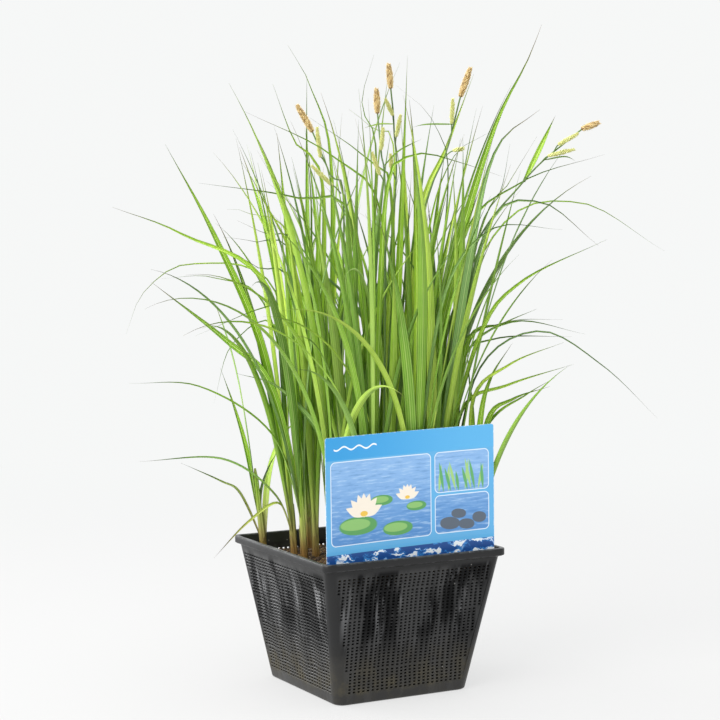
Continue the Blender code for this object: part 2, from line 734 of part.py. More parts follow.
def plan_shoots(space):
    """Every shoot's foot, leading blades and filling blades, clear of one another."""
    plan = {}
    for name, place in SHOOTS.items():
        foot = shoot_foot(*place)
        plan[name] = {"foot": foot, "axis": shoot_axis(foot), "blades": []}
        space.add(name, tube_guard(sheath_line(foot, SHEATH_HEIGHT), SHEATH_RADIUS + CLEARANCE))
    draw = random.Random(SEED)
    for row_name, row in LEADING_BLADES.items():
        shoot = plan[row[0]]
        drift = draw.uniform(-45, 45) * MM
        met, blade = place_leading(row, shoot["foot"], shoot["axis"], space, drift)
        if met:
            print("left out, no free way:", row_name)
            continue
        shoot["blades"].append(blade)
        space.add_blade(row[0], blade)
    for _ in range(BLADES_PER_SHOOT + 1):
        for name, shoot in plan.items():
            wanted = BLADES_PER_LOW_SHOOT if name in LOW_SHOOTS else BLADES_PER_SHOOT
            if len(shoot["blades"]) >= wanted + EXTRA_BLADES.get(name, 0):
                continue
            blade = place_filling(draw, name, shoot["foot"], shoot["axis"], space)
            if blade:
                shoot["blades"].append(blade)
                space.add_blade(name, blade)
    return plan


def make_shoot(name, shoot, finish):
    """The sheath with its blades fused to it as one body."""
    bm = bmesh.new()
    bridged(bm, tube_rings(sheath_line(shoot["foot"], SHEATH_HEIGHT), sheath_radius, SHEATH_SIDES))
    sheath = object_from("shoot_" + name, bm, finish)
    blades = []
    for i, blade in enumerate(shoot["blades"]):
        bm = bmesh.new()
        blade_mesh(bm, blade)
        blades.append(object_from(f"blade_{i}", bm))
    apply_boolean(sheath, blades, "UNION")
    close_cavities(sheath)
    return sheath


def shoot_hole(name, foot, axis, radius):
    """The plain hole that a shoot or stem stands in."""
    bm = bmesh.new()
    line = [foot + axis * t for t in (-HOLE_DEPTH, 25 * MM)]
    bridged(bm, tube_rings(line, lambda s: radius + HOLE_GAP, SHEATH_SIDES))
    return object_from("hole_" + name, bm)


# Flowering stems and spikes


def culm_line(row):
    """From its hole up through its places to the foot of the end spike."""
    place, *places = row
    foot = shoot_foot(*place)
    start = foot.dot(TOWARD)
    points = [foot - Vector((0, 0, HOLE_DEPTH - 2 * MM)), foot + Vector((0, 0, 20 * MM))]
    points += [on_view(a, up, start * (1 - 0.35 * i)) for i, (a, up) in enumerate(places[:-1])]
    return stations(spline(points), least=7)


def at_height(line, z):
    """The point of a rising line at a height."""
    for a, b in zip(line, line[1:]):
        if a.z <= z <= b.z:
            return a.lerp(b, (z - a.z) / max(b.z - a.z, 1e-9))
    return line[-1].copy()


def spike_solid(name, foot, tip, radius, finish):
    """A spindle covered in overlapping scales, their points raised in a diamond pattern."""
    length = (tip - foot).length
    rings = max(5, round(length / (3.2 * MM)))
    line = [foot.lerp(tip, i / rings) for i in range(rings + 1)]

    def spindle(s):
        return radius * (0.42 + 0.58 * math.sin(math.pi * min(1.0, 0.12 + s * 0.86)) ** 0.6)

    made = tube_rings(line, spindle, SPIKE_SIDES)
    for i, ring in enumerate(made):
        for k, point in enumerate(ring):
            if 0 < i < rings:
                raised = 1.28 if (i + k) % 2 else 0.94
                ring[k] = line[i] + (point - line[i]) * raised
    for k, point in enumerate(made[-1]):
        made[-1][k] = line[-1] + (point - line[-1]) * 0.5
    bm = bmesh.new()
    bridged(bm, made)
    bmesh.ops.triangulate(bm, faces=bm.faces)
    return object_from(name, bm, finish)


def plan_culms(space):
    """Each stem's line, its spikes as (foot, tip, radius) and its bracts."""
    plan = {}
    for name, row in CULMS.items():
        line = culm_line(row)
        space.add(name, tube_guard(line, CULM_RADIUS + CLEARANCE))
        ends = [(line[-1], on_view(*row[-1], line[-1].dot(TOWARD)), SPIKE_RADIUS)]
        for foot, tip in SIDE_SPIKES[name]:
            depth = at_height(line, foot[1] * MM).dot(TOWARD) + SIDE_SPIKE_AWAY
            ends.append((on_view(*foot, depth), on_view(*tip, depth + 3 * MM), SIDE_SPIKE_RADIUS))
        for foot, tip, radius in ends:
            space.add(name, tube_guard([foot, foot.lerp(tip, 0.5), tip], radius * 1.3 + CLEARANCE))
        plan[name] = {"line": line, "spikes": ends, "bracts": []}
    for name, width, turn, *places in BRACTS.values():
        start = at_height(plan[name]["line"], places[0][1] * MM)
        depth = start.dot(TOWARD)
        points = [start] + [on_view(a, up, depth - 3 * MM) for a, up in places[1:]]
        blade = make_blade(spline(points), width * MM, math.radians(turn), 0)
        plan[name]["bracts"].append(blade)
        space.add_blade(name, blade)
    return plan


def stalk_line(culm, foot, tip):
    """A short stalk from the stem up into the foot of a side spike."""
    end = foot - (tip - foot).normalized() * SEAT_GAP
    low = at_height(culm["line"], foot.z - 7 * MM)
    return [low, low.lerp(end, 0.6) + Vector((0, 0, 1 * MM)), end]


def make_culm(name, culm, finish, end_finish, side_finish):
    """The three-edged stem with its bracts and stalks fused to it, and its loose spikes."""
    bm = bmesh.new()
    line = list(culm["line"])
    end_foot, end_tip, _ = culm["spikes"][0]
    line[-1] = line[-1] - (end_tip - end_foot).normalized() * SEAT_GAP
    narrowing = CULM_TOP_RADIUS - CULM_RADIUS
    bridged(bm, tube_rings(line, lambda s: CULM_RADIUS + narrowing * s, 3))
    stem = object_from(name, bm, finish)
    joined = []
    for i, (foot, tip, _) in enumerate(culm["spikes"][1:]):
        bm = bmesh.new()
        bridged(bm, tube_rings(stalk_line(culm, foot, tip), lambda s: 0.62 * MM, 4, math.pi / 4))
        joined.append(object_from(f"stalk_{i}", bm))
    for i, bract in enumerate(culm["bracts"]):
        bm = bmesh.new()
        blade_mesh(bm, bract)
        joined.append(object_from(f"bract_{i}", bm))
    apply_boolean(stem, joined, "UNION")
    for i, (foot, tip, radius) in enumerate(culm["spikes"]):
        kind = "male_spike" if i == 0 else "female_spike"
        number = name.split("_")[1] + ("" if i == 0 else "abc"[i - 1])
        spike_solid(f"{kind}_{number}", foot, tip, radius, end_finish if i == 0 else side_finish)


def main():
    clear_scene()
    black = material("basket_black", (0.028, 0.029, 0.032), 0.5)
    earth = material("soil_brown", (0.09, 0.055, 0.032), 0.95)
    print_blue = material("label_blue", (0.13, 0.42, 0.82), 0.35)
    leaf = material("leaf_green", (0.17, 0.36, 0.05), 0.45)
    stem = material("stem_green", (0.20, 0.34, 0.08), 0.5)
    brown = material("spike_brown", (0.52, 0.30, 0.11), 0.8)
    yellow = material("spike_yellow", (0.56, 0.58, 0.18), 0.8)

    make_basket(black)
    card_solid("plant_label", CARD_THICK, finish=print_blue)

    space = Space()
    half, low = CARD_WIDTH / 2 + 2 * MM, Vector((0, 0, -2 * MM))
    card = [(-half, -2 * MM), (half, -2 * MM), (half, CARD_HEIGHT), (-half, CARD_HEIGHT)]
    slab = [card_place() @ Vector((x, y, z)) for y in (-1 * MM, CARD_BOW + 1 * MM) for x, z in card]
    space.add("label", (slab, [(0, 1, 2, 3), (4, 5, 6, 7), (0, 1, 5, 4), (2, 3, 7, 6)]))
    rim = square_ring(RIM_HALF + 1 * MM, LIP_Z - 4 * MM) + square_ring(
        RIM_HALF - LIP_WIDTH - 1 * MM, BASKET_HEIGHT + 1 * MM
    )
    count = len(rim) // 2
    around = [(i, (i + 1) % count, count + (i + 1) % count, count + i) for i in range(count)]
    space.add("rim", (rim, around))

    culms = plan_culms(space)
    shoots = plan_shoots(space)
    for name, culm in culms.items():
        make_culm(name, culm, stem, brown, yellow)
    for name, shoot in shoots.items():
        make_shoot(name, shoot, leaf)

    cutters = [card_solid("prong_slots", CARD_THICK + 2 * SOIL_GAP, SOIL_GAP)]
    for name, shoot in shoots.items():
        cutters.append(shoot_hole(name, shoot["foot"], shoot["axis"], SHEATH_RADIUS))
    for name, culm in culms.items():
        start, second = culm["line"][:2]
        axis = (second - start).normalized()
        cutters.append(shoot_hole(name, start + axis * (HOLE_DEPTH - 2 * MM), axis, CULM_RADIUS))
    make_soil(earth, cutters)


main()
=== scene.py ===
import math
import random

import bmesh
import bpy
from mathutils import Matrix, Vector
from mathutils.bvhtree import BVHTree


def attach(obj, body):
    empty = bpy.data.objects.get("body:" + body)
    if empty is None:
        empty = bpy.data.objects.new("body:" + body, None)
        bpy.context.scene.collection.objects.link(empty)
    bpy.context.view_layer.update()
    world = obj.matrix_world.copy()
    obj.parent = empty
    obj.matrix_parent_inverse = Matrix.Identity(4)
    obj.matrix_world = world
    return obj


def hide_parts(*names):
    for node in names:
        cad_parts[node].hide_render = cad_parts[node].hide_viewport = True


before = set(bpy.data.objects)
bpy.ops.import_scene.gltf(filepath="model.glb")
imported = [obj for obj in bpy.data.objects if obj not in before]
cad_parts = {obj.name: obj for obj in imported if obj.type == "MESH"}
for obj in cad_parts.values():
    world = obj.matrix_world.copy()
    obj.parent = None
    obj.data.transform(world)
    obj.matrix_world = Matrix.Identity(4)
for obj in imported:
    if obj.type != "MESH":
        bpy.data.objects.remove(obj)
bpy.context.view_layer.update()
mm = 0.001
print("frame loaded:", len(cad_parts), "solids")


# small helpers for node trees and meshes

class Wire:
    # an output of a node that takes part in sums: each sign adds one math node

    def __init__(self, net, socket):
        self.net, self.socket = net, socket

    def __abs__(self):
        return self.net.calc("ABSOLUTE", self)

    def __lt__(self, other):
        return self.net.calc("LESS_THAN", self, other)

    def __gt__(self, other):
        return self.net.calc("GREATER_THAN", self, other)


def sign(operation, swapped=False):
    def apply(self, other):
        return self.net.calc(operation, *((other, self) if swapped else (self, other)))
    return apply


signs = {"add": "ADD", "sub": "SUBTRACT", "mul": "MULTIPLY", "truediv": "DIVIDE", "pow": "POWER"}
for word, operation in signs.items():
    setattr(Wire, f"__{word}__", sign(operation))
    setattr(Wire, f"__r{word}__", sign(operation, swapped=True))


class Net:
    # one node tree under construction

    def __init__(self, tree):
        self.tree = tree

    def add(self, kind, inputs=None, **settings):
        # a node with its settings, then its inputs: plain values or outputs of other nodes
        node = self.tree.nodes.new(kind)
        for key, value in settings.items():
            setattr(node, key, value)
        for key, value in (inputs or {}).items():
            self.feed(node.inputs[key], value)
        return node

    def feed(self, socket, value):
        if isinstance(value, (bpy.types.Node, Wire)):
            value = value.socket if isinstance(value, Wire) else value.outputs[0]
        if isinstance(value, bpy.types.NodeSocket):
            self.tree.links.new(value, socket)
        else:
            socket.default_value = value

    def out(self, node, key=0):
        return Wire(self, node.outputs[key])

    def made(self, kind, inputs=None, **settings):
        return self.out(self.add(kind, inputs, **settings))

    def calc(self, operation, *terms, clamp=False):
        return self.made("ShaderNodeMath", dict(enumerate(terms)), operation=operation, use_clamp=clamp)

    def vec(self, operation, *terms):
        node = self.add("ShaderNodeVectorMath", operation=operation)
        for i, term in enumerate(terms):
            self.feed(node.inputs["Scale" if operation == "SCALE" and i == 1 else i], term)
        return self.out(node, "Value" if operation == "LENGTH" or operation == "DOT_PRODUCT" else "Vector")

    def fade(self, value, low, high, outLow=0.0, outHigh=1.0):
        # a soft step between two values
        slots = ("Value", "From Min", "From Max", "To Min", "To Max")
        inputs = dict(zip(slots, (value, low, high, outLow, outHigh)))
        return self.made("ShaderNodeMapRange", inputs, interpolation_type="SMOOTHSTEP")

    def mix(self, share, first, second):
        # a colour between two, each a tuple or an output
        first, second = ((*c, 1.0) if isinstance(c, tuple) else c for c in (first, second))
        return self.out(self.add("ShaderNodeMix", {0: share, 6: first, 7: second}, data_type="RGBA"), 2)

    def noise(self, place, scale, detail=2.0, rough=0.5, stretch=None):
        if stretch:
            place = self.vec("MULTIPLY", place, stretch)
        inputs = {"Vector": place, "Scale": scale, "Detail": detail, "Roughness": rough}
        return self.made("ShaderNodeTexNoise", inputs)

    def over(self, tone, *layers):
        # colours laid over one another, each where its mask says
        for mask, colour in layers:
            tone = self.mix(mask, tone, colour)
        return tone

    def ramp(self, value, stops):
        node = self.add("ShaderNodeValToRGB", {"Fac": value})
        points = node.color_ramp.elements
        while len(points) < len(stops):
            points.new(0.5)
        for point, (at, colour) in zip(points, stops):
            point.position, point.color = at, (*colour, 1.0)
        return self.out(node)

    def xyz(self, vector):
        node = self.add("ShaderNodeSeparateXYZ", {0: vector})
        return [self.out(node, i) for i in range(3)]

    def together(self, x=0.0, y=0.0, z=0.0):
        return self.made("ShaderNodeCombineXYZ", {0: x, 1: y, 2: z})

    def chance(self, low, high, seed):
        # a random number or vector for each element
        kind, first = ("FLOAT_VECTOR", 0) if isinstance(low, tuple) else ("FLOAT", 2)
        inputs = {first: low, first + 1: high, "Seed": seed}
        return self.out(self.add("FunctionNodeRandomValue", inputs, data_type=kind), first // 2)

    def named(self, name, kind="FLOAT"):
        # a named attribute, in a geometry tree
        return self.made("GeometryNodeInputNamedAttribute", {"Name": name}, data_type=kind)

    def painted(self, name):
        # the same attribute, in a material
        return self.out(self.add("ShaderNodeAttribute", attribute_name=name), "Fac")

    def store(self, geometry, name, value, domain="POINT"):
        inputs = {"Geometry": geometry, "Name": name, "Value": value}
        return self.made("GeometryNodeStoreNamedAttribute", inputs, data_type="FLOAT", domain=domain)

    def moved(self, geometry, how, value):
        # points set to a "Position", or shifted by an "Offset"
        return self.made("GeometryNodeSetPosition", {"Geometry": geometry, how: value})

    def smooth(self, geometry):
        return self.made("GeometryNodeSetShadeSmooth", {"Geometry": geometry, "Shade Smooth": True})

    def bump(self, height, distance, strength=1.0):
        return self.made("ShaderNodeBump", {"Height": height, "Distance": distance, "Strength": strength})


def withSockets(tree, inputs, outputs):
    # the named inputs and outputs of a tree, each as (name, kind, value), and its two end nodes
    for direction, rows in (("INPUT", inputs), ("OUTPUT", outputs)):
        for name, kind, value in rows:
            socket = tree.interface.new_socket(name, in_out=direction, socket_type="NodeSocket" + kind)
            if value is not None:
                socket.default_value = value
    net = Net(tree)
    given = {socket.name: Wire(net, socket) for socket in net.add("NodeGroupInput").outputs}
    return net, given, net.add("NodeGroupOutput").inputs


def geometryTree(name, inputs):
    tree = bpy.data.node_groups.new(name, "GeometryNodeTree")
    rows = [("Geometry", "Geometry", None)] + inputs + [("Material", "Material", None)]
    return withSockets(tree, rows, [("Geometry", "Geometry", None)])


def closeTree(net, geometry, given, result):
    # every tree ends in plain mesh with its finish
    real = net.add("GeometryNodeRealizeInstances", {0: geometry})
    net.feed(result[0], net.add("GeometryNodeSetMaterial", {"Geometry": real, "Material": given["Material"]}))
    return net.tree


def runTree(obj, tree, values):
    # the tree's result as the object's own plain mesh
    step = obj.modifiers.new(tree.name, "NODES")
    step.node_group = tree
    sockets = {row.name: row.identifier for row in tree.interface.items_tree if row.in_out == "INPUT"}
    for key, value in values.items():
        step[sockets[key]] = value
    graph = bpy.context.evaluated_depsgraph_get()
    result = obj.evaluated_get(graph)
    made = bpy.data.meshes.new_from_object(result, preserve_all_data_layers=True, depsgraph=graph)
    obj.modifiers.clear()
    obj.data = made
    return obj


def newObject(name, points=(), edges=(), faces=(), finish=None):
    mesh = bpy.data.meshes.new(name)
    mesh.from_pydata([tuple(p) for p in points], edges, faces)
    obj = bpy.data.objects.new(name, mesh)
    bpy.context.scene.collection.objects.link(obj)
    if finish:
        mesh.materials.append(finish)
    return obj


def addAttribute(mesh, name, values):
    # one value for each point: numbers or vectors
    if isinstance(values[0], Vector):
        layer = mesh.attributes.new(name, "FLOAT_VECTOR", "POINT")
        layer.data.foreach_set("vector", [c for v in values for c in v])
    else:
        layer = mesh.attributes.new(name, "FLOAT", "POINT")
        layer.data.foreach_set("value", values)


def smoothShade(obj, angle=40):
    obj.data.shade_smooth()
    obj.data.set_sharp_from_angle(angle=math.radians(angle))
    return obj


def outward(obj, mend=False):
    # turns a closed mesh right side out where it isn't, after making its faces agree
    work = bmesh.new()
    work.from_mesh(obj.data)
    if mend:
        bmesh.ops.recalc_face_normals(work, faces=work.faces)
    turned = work.calc_volume(signed=True) < 0
    if turned:
        bmesh.ops.reverse_faces(work, faces=work.faces)
    if mend or turned:
        work.to_mesh(obj.data)
    work.free()
    return obj


def loftFaces(rings, count, base=0):
    # quads between stacked rings of points
    faces = []
    for low in range(base, base + (rings - 1) * count, count):
        for j in range(count):
            k = (j + 1) % count
            faces.append((low + j, low + k, low + count + k, low + count + j))
    return faces


def place(obj, slot, *nodes):
    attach(obj, "root")
    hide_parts(*nodes)


# the clump's plan, the same as the solids': one line for each blade and stem

pot = {
    "rimHalf": 92.0 * mm, "footHalf": 67.6 * mm, "height": 130.5 * mm, "shoulderHalf": 88.0 * mm,
    "shoulderZ": 122.6 * mm, "lipZ": 123.5 * mm, "lipWidth": 4.0 * mm, "footRound": 2.5 * mm,
    "wall": 2.0 * mm, "floor": 3.0 * mm, "corner": 7.0 * mm, "footCorner": 10.0 * mm,
}
earth = {
    "surface": (116.5 * mm, 3.5 * mm, 1.5 * mm), "planting": (111.0 * mm, 9.0 * mm, 9.0 * mm),
    "moundAt": Vector((-10.0 * mm, 16.0 * mm)), "spread": 46.0 * mm, "holeDepth": 14.0 * mm,
}
card = {
    "width": 170.2 * mm, "height": 116.6 * mm, "thick": 0.5 * mm, "bow": 2.4 * mm,
    "centre": Vector((1.2 * mm, -79.0 * mm, 123.0 * mm)), "lean": math.radians(-0.7),
    "roll": math.radians(1.27), "corner": 2.2 * mm, "prongWidth": 11.0 * mm, "prongLength": 30.0 * mm,
    "prongsAt": (-41.0 * mm, 37.0 * mm), "prongSlant": 0.15,
}
viewTurn = math.radians(29.3)  # the clump is laid out in the plane that faces its showing side
acrossDir = Vector((math.cos(viewTurn), -math.sin(viewTurn), 0))
towardDir = Vector((-math.sin(viewTurn), -math.cos(viewTurn), 0))
growth = {
    "seed": 20, "sheathRadius": 3.3 * mm, "sheathTop": 2.2 * mm, "sheathHeight": 88.0 * mm,
    "lean": 0.11, "spread": 82.5 * mm, "blades": 9, "lowBlades": 5, "lowShoots": ("corner", "right_d"),
    "extra": {"mid_a": 1, "mid_d": 1, "mid_e": 1, "left_d": 1, "front_b": 1},
    "stationBend": math.radians(15), "fewest": 4, "most": 9, "keel": 1.25 * mm,
    "clearance": 0.4 * mm, "parting": 30.0 * mm, "rootOut": 1.8 * mm, "tries": 60,
    "culmRadius": 1.3 * mm, "culmTop": 0.75 * mm,
    "spikeRadius": 2.3 * mm, "sideSpikeRadius": 1.8 * mm, "sideSpikeAway": 4.2 * mm,
}

shootFeet = {  # x, y on the soil, in mm
    "corner": (-72, 64), "left_a": (-52, 44), "left_b": (-58, 12), "left_c": (-25, 66),
    "left_d": (-42, 20), "back_a": (0, 72), "front_a": (-44, -22), "mid_a": (-18, -5),
    "mid_b": (-14, 34), "front_b": (-22, -48), "mid_c": (6, -24), "mid_d": (12, 6),
    "back_b": (18, 44), "front_c": (12, -56), "mid_e": (34, -12), "mid_f": (38, 26),
    "back_c": (42, 64), "front_d": (36, -46), "right_a": (58, -6), "right_b": (64, 36),
    "right_c": (60, -32), "right_d": (70, -60),
}

# the blades that make the outline: shoot, width, turn, then places (across, up) in mm to the tip
leadingBlades = {
    "farLeftArch": ("left_b", 6.5, 50, (-86, 358), (-162, 410), (-223, 434)),
    "leftSpear": ("left_a", 8, 70, (-94, 302), (-137, 407), (-181, 490)),
    "leftFlag": ("mid_a", 5.5, 40, (-14, 418), (-62, 442), (-148, 455)),
    "leftGrey": ("left_d", 6, 60, (-62, 366), (-94, 444), (-112, 476)),
    "leftCurlA": ("left_c", 5, 35, (-70, 395), (-110, 428), (-131, 432)),
    "leftCurlB": ("left_c", 5, 40, (-59, 385), (-96, 410), (-120, 422)),
    "leftCurlC": ("mid_b", 4, 30, (-64, 383), (-104, 403), (-129, 407)),
    "leftCurlD": ("left_d", 5, 40, (-67, 360), (-96, 380), (-120, 395)),
    "leftDroopA": ("left_a", 3.5, 15, (-83, 357), (-159, 383), (-202, 358), (-219, 319)),
    "leftDroopB": ("left_c", 3, 20, (-93, 338), (-143, 368), (-194, 367)),
    "leftLance": ("left_b", 7, 60, (-86, 273), (-127, 315), (-194, 367)),
    "leftBow": ("mid_b", 3.5, 20, (-30, 343), (-86, 346), (-154, 319)),
    "leftHook": ("left_a", 3, 15, (-83, 322), (-125, 308), (-143, 252)),
    "leftLowGrey": ("front_a", 6, 45, (-39, 226), (-78, 273), (-117, 286)),
    "leftLowThin": ("left_b", 3.5, 25, (-83, 230), (-146, 276), (-209, 280)),
    "cornerSpear": ("corner", 4.5, 60, (-110, 207), (-121, 247), (-135, 287)),
    "cornerThin": ("corner", 3, 30, (-117, 170), (-136, 180), (-174, 196)),
    "cornerInner": ("corner", 3, 30, (-99, 165), (-93, 190), (-80, 214)),
    "leftLowDrop": ("left_a", 3.5, 30, (-80, 165), (-108, 150), (-138, 119)),
    "leftLowArch": ("left_a", 3.5, 25, (-85, 172), (-133, 204), (-210, 201)),
    "topLeftA": ("back_a", 5, 60, (-33, 460), (-52, 543), (-74, 584)),
    "topLeftB": ("left_d", 6, 65, (-39, 441), (-66, 494), (-84, 543)),
    "topLeftC": ("mid_d", 5, 40, (14, 417), (-29, 478), (-110, 519)),
    "topLeftD": ("mid_c", 5.5, 45, (22, 435), (0, 476), (-51, 513)),
    "topLeftE": ("mid_d", 4.5, 60, (25, 470), (5, 506), (-17, 525)),
    "broadLeft": ("left_d", 9, 75, (-50, 380), (-50, 440), (-54, 486)),
    "topThin": ("mid_a", 4.5, 60, (8, 466), (-5, 525), (6, 572)),
    "topLean": ("mid_c", 6.5, 60, (57, 386), (47, 421), (30, 471)),
    "topDark": ("mid_e", 9, 70, (47, 412), (73, 490), (97, 555)),
    "topWhip": ("mid_e", 2.8, 20, (72, 440), (59, 509), (25, 542)),
    "tallest": ("mid_f", 8.5, 75, (84, 400), (118, 509), (147, 567), (161, 602)),
    "rightBright": ("front_d", 8.5, 70, (89, 378), (112, 482), (151, 519)),
    "rightCurlA": ("mid_c", 4.5, 35, (52, 400), (75, 476), (110, 501)),
    "rightFlag": ("front_b", 5.5, 40, (16, 441), (43, 479), (73, 476), (120, 461)),
    "rightReach": ("right_a", 4.5, 30, (85, 395), (141, 456), (221, 483)),
    "rightDroopA": ("mid_f", 3.8, 20, (112, 402), (190, 439), (271, 394)),
    "rightDroopB": ("front_d", 5.5, 45, (102, 404), (150, 439), (204, 400)),
    "rightCurlB": ("front_c", 4.5, 35, (66, 350), (109, 414), (173, 414)),
    "rightMidLance": ("front_d", 5, 40, (99, 315), (137, 366), (216, 405)),
    "rightMidBroad": ("right_c", 6, 50, (90, 307), (125, 327), (157, 340)),
    "rightMidThin": ("right_a", 3.2, 20, (80, 300), (125, 330), (176, 333)),
    "rightLongDroop": ("right_c", 3.5, 15, (100, 285), (156, 322), (215, 290), (266, 241)),
    "rightMidFlag": ("right_a", 4, 30, (86, 290), (135, 328), (203, 316)),
    "rightMidLevel": ("right_b", 3.8, 30, (82, 285), (120, 312), (190, 314)),
    "rightLowA": ("right_d", 5, 45, (94, 259), (127, 294), (175, 314)),
    "rightLowB": ("right_c", 5, 40, (86, 251), (127, 274), (186, 293)),
    "rightLowC": ("right_d", 6, 45, (108, 240), (132, 260), (167, 271)),
    "rightLowD": ("right_c", 4.5, 45, (108, 236), (143, 265), (169, 281)),
    "rightYellow": ("right_d", 6, 65, (101, 239), (110, 280), (130, 313)),
    "rightUpright": ("right_d", 4, 60, (96, 239), (93, 278), (90, 323)),
    "rightThinA": ("right_a", 3.2, 50, (100, 400), (122, 447), (131, 492)),
    "rightThinB": ("right_b", 3.2, 50, (105, 410), (130, 455), (156, 499)),
}

# flowering stems: foot (x, y), places (across, up) to the end spike's foot, then its tip
culmRows = {
    "culm_1": ((-30, 6), (-21, 427), (-33, 462), (-49, 501), (-63, 525)),
    "culm_2": ((-4, -36), (16, 427), (12, 483), (9, 517), (8, 539)),
    "culm_3": ((4, 20), (24, 427), (24, 505), (21, 540), (19, 562)),
    "culm_4": ((24, -30), (46, 400), (71, 485), (83, 532), (92, 558)),
    "culm_5": ((50, 14), (88, 370), (142, 457), (193, 504), (209, 510)),
}
sideSpikes = {
    "culm_1": [((-42, 478), (-45, 505)), ((-31, 453), (-50, 471))],
    "culm_2": [((12, 484), (14, 504)), ((11, 462), (4, 482))],
    "culm_3": [((23, 516), (16, 531)), ((26, 497), (30, 517)), ((22, 466), (21, 482))],
    "culm_4": [((75, 508), (76, 530)), ((76, 484), (86, 486))],
    "culm_5": [((172, 490), (190, 500)), ((163, 480), (187, 486))],
}
bractRows = (
    ("culm_3", 2.2, 20, (24, 509), (10, 509), (-4, 505)),
    ("culm_2", 2.2, 20, (14, 470), (28, 484), (48, 494)),
    ("culm_4", 2.4, 20, (74, 508), (53, 508), (40, 505)),
    ("culm_5", 5.0, 60, (142, 457), (156, 485), (171, 517)),
    ("culm_5", 2.2, 20, (160, 477), (180, 480), (190, 475)),
)


def ease(t):
    t = min(max(t, 0.0), 1.0)
    return t * t * (3 - 2 * t)


def squareRing(half, z, radius=pot["corner"], steps=3):
    # a square outline with round corners, anticlockwise
    points = []
    for corner in range(4):
        turn = math.pi / 4 + corner * math.pi / 2
        centre = Vector((math.cos(turn), math.sin(turn))) * math.sqrt(2) * (half - radius)
        for step in range(steps + 1):
            angle = turn - math.pi / 4 + step / steps * math.pi / 2
            x, y = centre.x + radius * math.cos(angle), centre.y + radius * math.sin(angle)
            points.append(Vector((x, y, z)))
    return points


def wallShare(z):
    return (z - pot["footRound"]) / (pot["shoulderZ"] - pot["footRound"])


def wallHalf(z):
    return pot["footHalf"] + (pot["shoulderHalf"] - pot["footHalf"]) * wallShare(z)


def wallCorner(z):
    return pot["footCorner"] + (pot["corner"] - pot["footCorner"]) * wallShare(z)


def heaped(x, y, level, mound, drop):
    away = (Vector((x, y)) - earth["moundAt"]).length
    heap = mound * math.exp(-((away / earth["spread"]) ** 2))
    corner = drop * ease((math.hypot(x, y) - 70 * mm) / (40 * mm))
    lumps = 1.1 * mm * math.sin(x / (7.3 * mm) + 1.1) * math.sin(y / (8.9 * mm) + 0.4)
    lumps += 0.7 * mm * math.sin((x + 1.7 * y) / (5.1 * mm))
    return level + heap - corner + lumps


def cardPlace():
    lean = Matrix.Rotation(-card["lean"], 4, "X")
    roll = Matrix.Rotation(-card["roll"], 4, "Y")
    return Matrix.Translation(card["centre"]) @ lean @ roll


def onView(across, up, toward):
    return acrossDir * across * mm + towardDir * toward + Vector((0, 0, up * mm))


def heading(angle):
    return Vector((math.cos(angle), math.sin(angle), 0))


def spline(points):
    ends = [points[0] * 2 - points[1]] + points + [points[-1] * 2 - points[-2]]
    fine = []
    for a, b, c, d in zip(ends, ends[1:], ends[2:], ends[3:]):
        for i in range(12):
            t = i / 12
            fine.append(
                0.5 * (2 * b + (c - a) * t + (2 * a - 5 * b + 4 * c - d) * t * t
                       + (3 * b - a - 3 * c + d) * t**3)
            )
    fine.append(points[-1])
    return fine


def lengths(line):
    gone = [0.0]
    for a, b in zip(line, line[1:]):
        gone.append(gone[-1] + (b - a).length)
    return gone


def sampled(line, steps, measure=None):
    # points at even steps of the line's length, or of another measure
    measure = measure or lengths(line)
    made, k = [], 0
    for i in range(steps + 1):
        want = measure[-1] * i / steps
        while k < len(line) - 2 and measure[k + 1] < want:
            k += 1
        share = (want - measure[k]) / max(measure[k + 1] - measure[k], 1e-9)
        made.append(line[k].lerp(line[k + 1], share))
    return made


def stations(line, least=growth["fewest"]):
    # few points, closer together where the line bends
    even = sampled(line, 40)
    gone, turned = lengths(even), [0.0, 0.0]
    for a, b, c in zip(even, even[1:], even[2:]):
        turned.append(turned[-1] + (b - a).angle(c - b, 0.0))
    count = min(max(least - 1 + round(turned[-1] / growth["stationBend"]), least), growth["most"])
    whole = max(turned[-1], 1e-6)
    return sampled(even, count, [g / gone[-1] + 0.9 * t / whole for g, t in zip(gone, turned)])


def archingLine(root, azimuth, lean, arch, bendPower, length):
    steps = 40
    line = [root.copy()]
    for i in range(steps):
        tilt = lean + arch * ((i + 0.5) / steps) ** bendPower
        step = heading(azimuth) * math.sin(tilt) + Vector((0, 0, math.cos(tilt)))
        line.append(line[-1] + step * length / steps)
    return line


def bladeWidth(s):
    return (0.55 + 0.45 * ease(s / 0.3)) * (1 - ease((s - 0.42) / 0.62) ** 1.2)


def tangents(line):
    return [(b - a).normalized() for a, b in zip(line[:1] + line, line[1:] + line[-1:])]


def bladeFrames(line, turn, twist, shares):
    out = line[-1] - line[0]
    out.z = 0
    out = out.normalized() if out.length > 1e-6 else Vector((1, 0, 0))
    level = Vector((0, 0, 1)).cross(out)
    made = []
    for tangent, share in zip(tangents(line), shares):
        side = (level - tangent * level.dot(tangent)).normalized()
        side = Matrix.Rotation(turn + twist * share, 3, tangent) @ side
        made.append((tangent, side, tangent.cross(side)))
    return made


def tubeFrames(line):
    made = []
    for tangent in tangents(line):
        first = tangent.cross(Vector((0, 1, 0))).normalized()
        made.append((tangent, first, tangent.cross(first)))
    return made


def keelDepth(half):
    return growth["keel"] * min(1.0, 0.45 + half / (3 * mm))


def makeBlade(fine, width, turn, twist):
    line = stations(fine)
    gone = lengths(line)
    shares = [g / gone[-1] for g in gone]
    return {"line": line, "width": width, "shares": shares, "frames": bladeFrames(line, turn, twist, shares),
            "fine": fine, "turn": turn, "twist": twist}


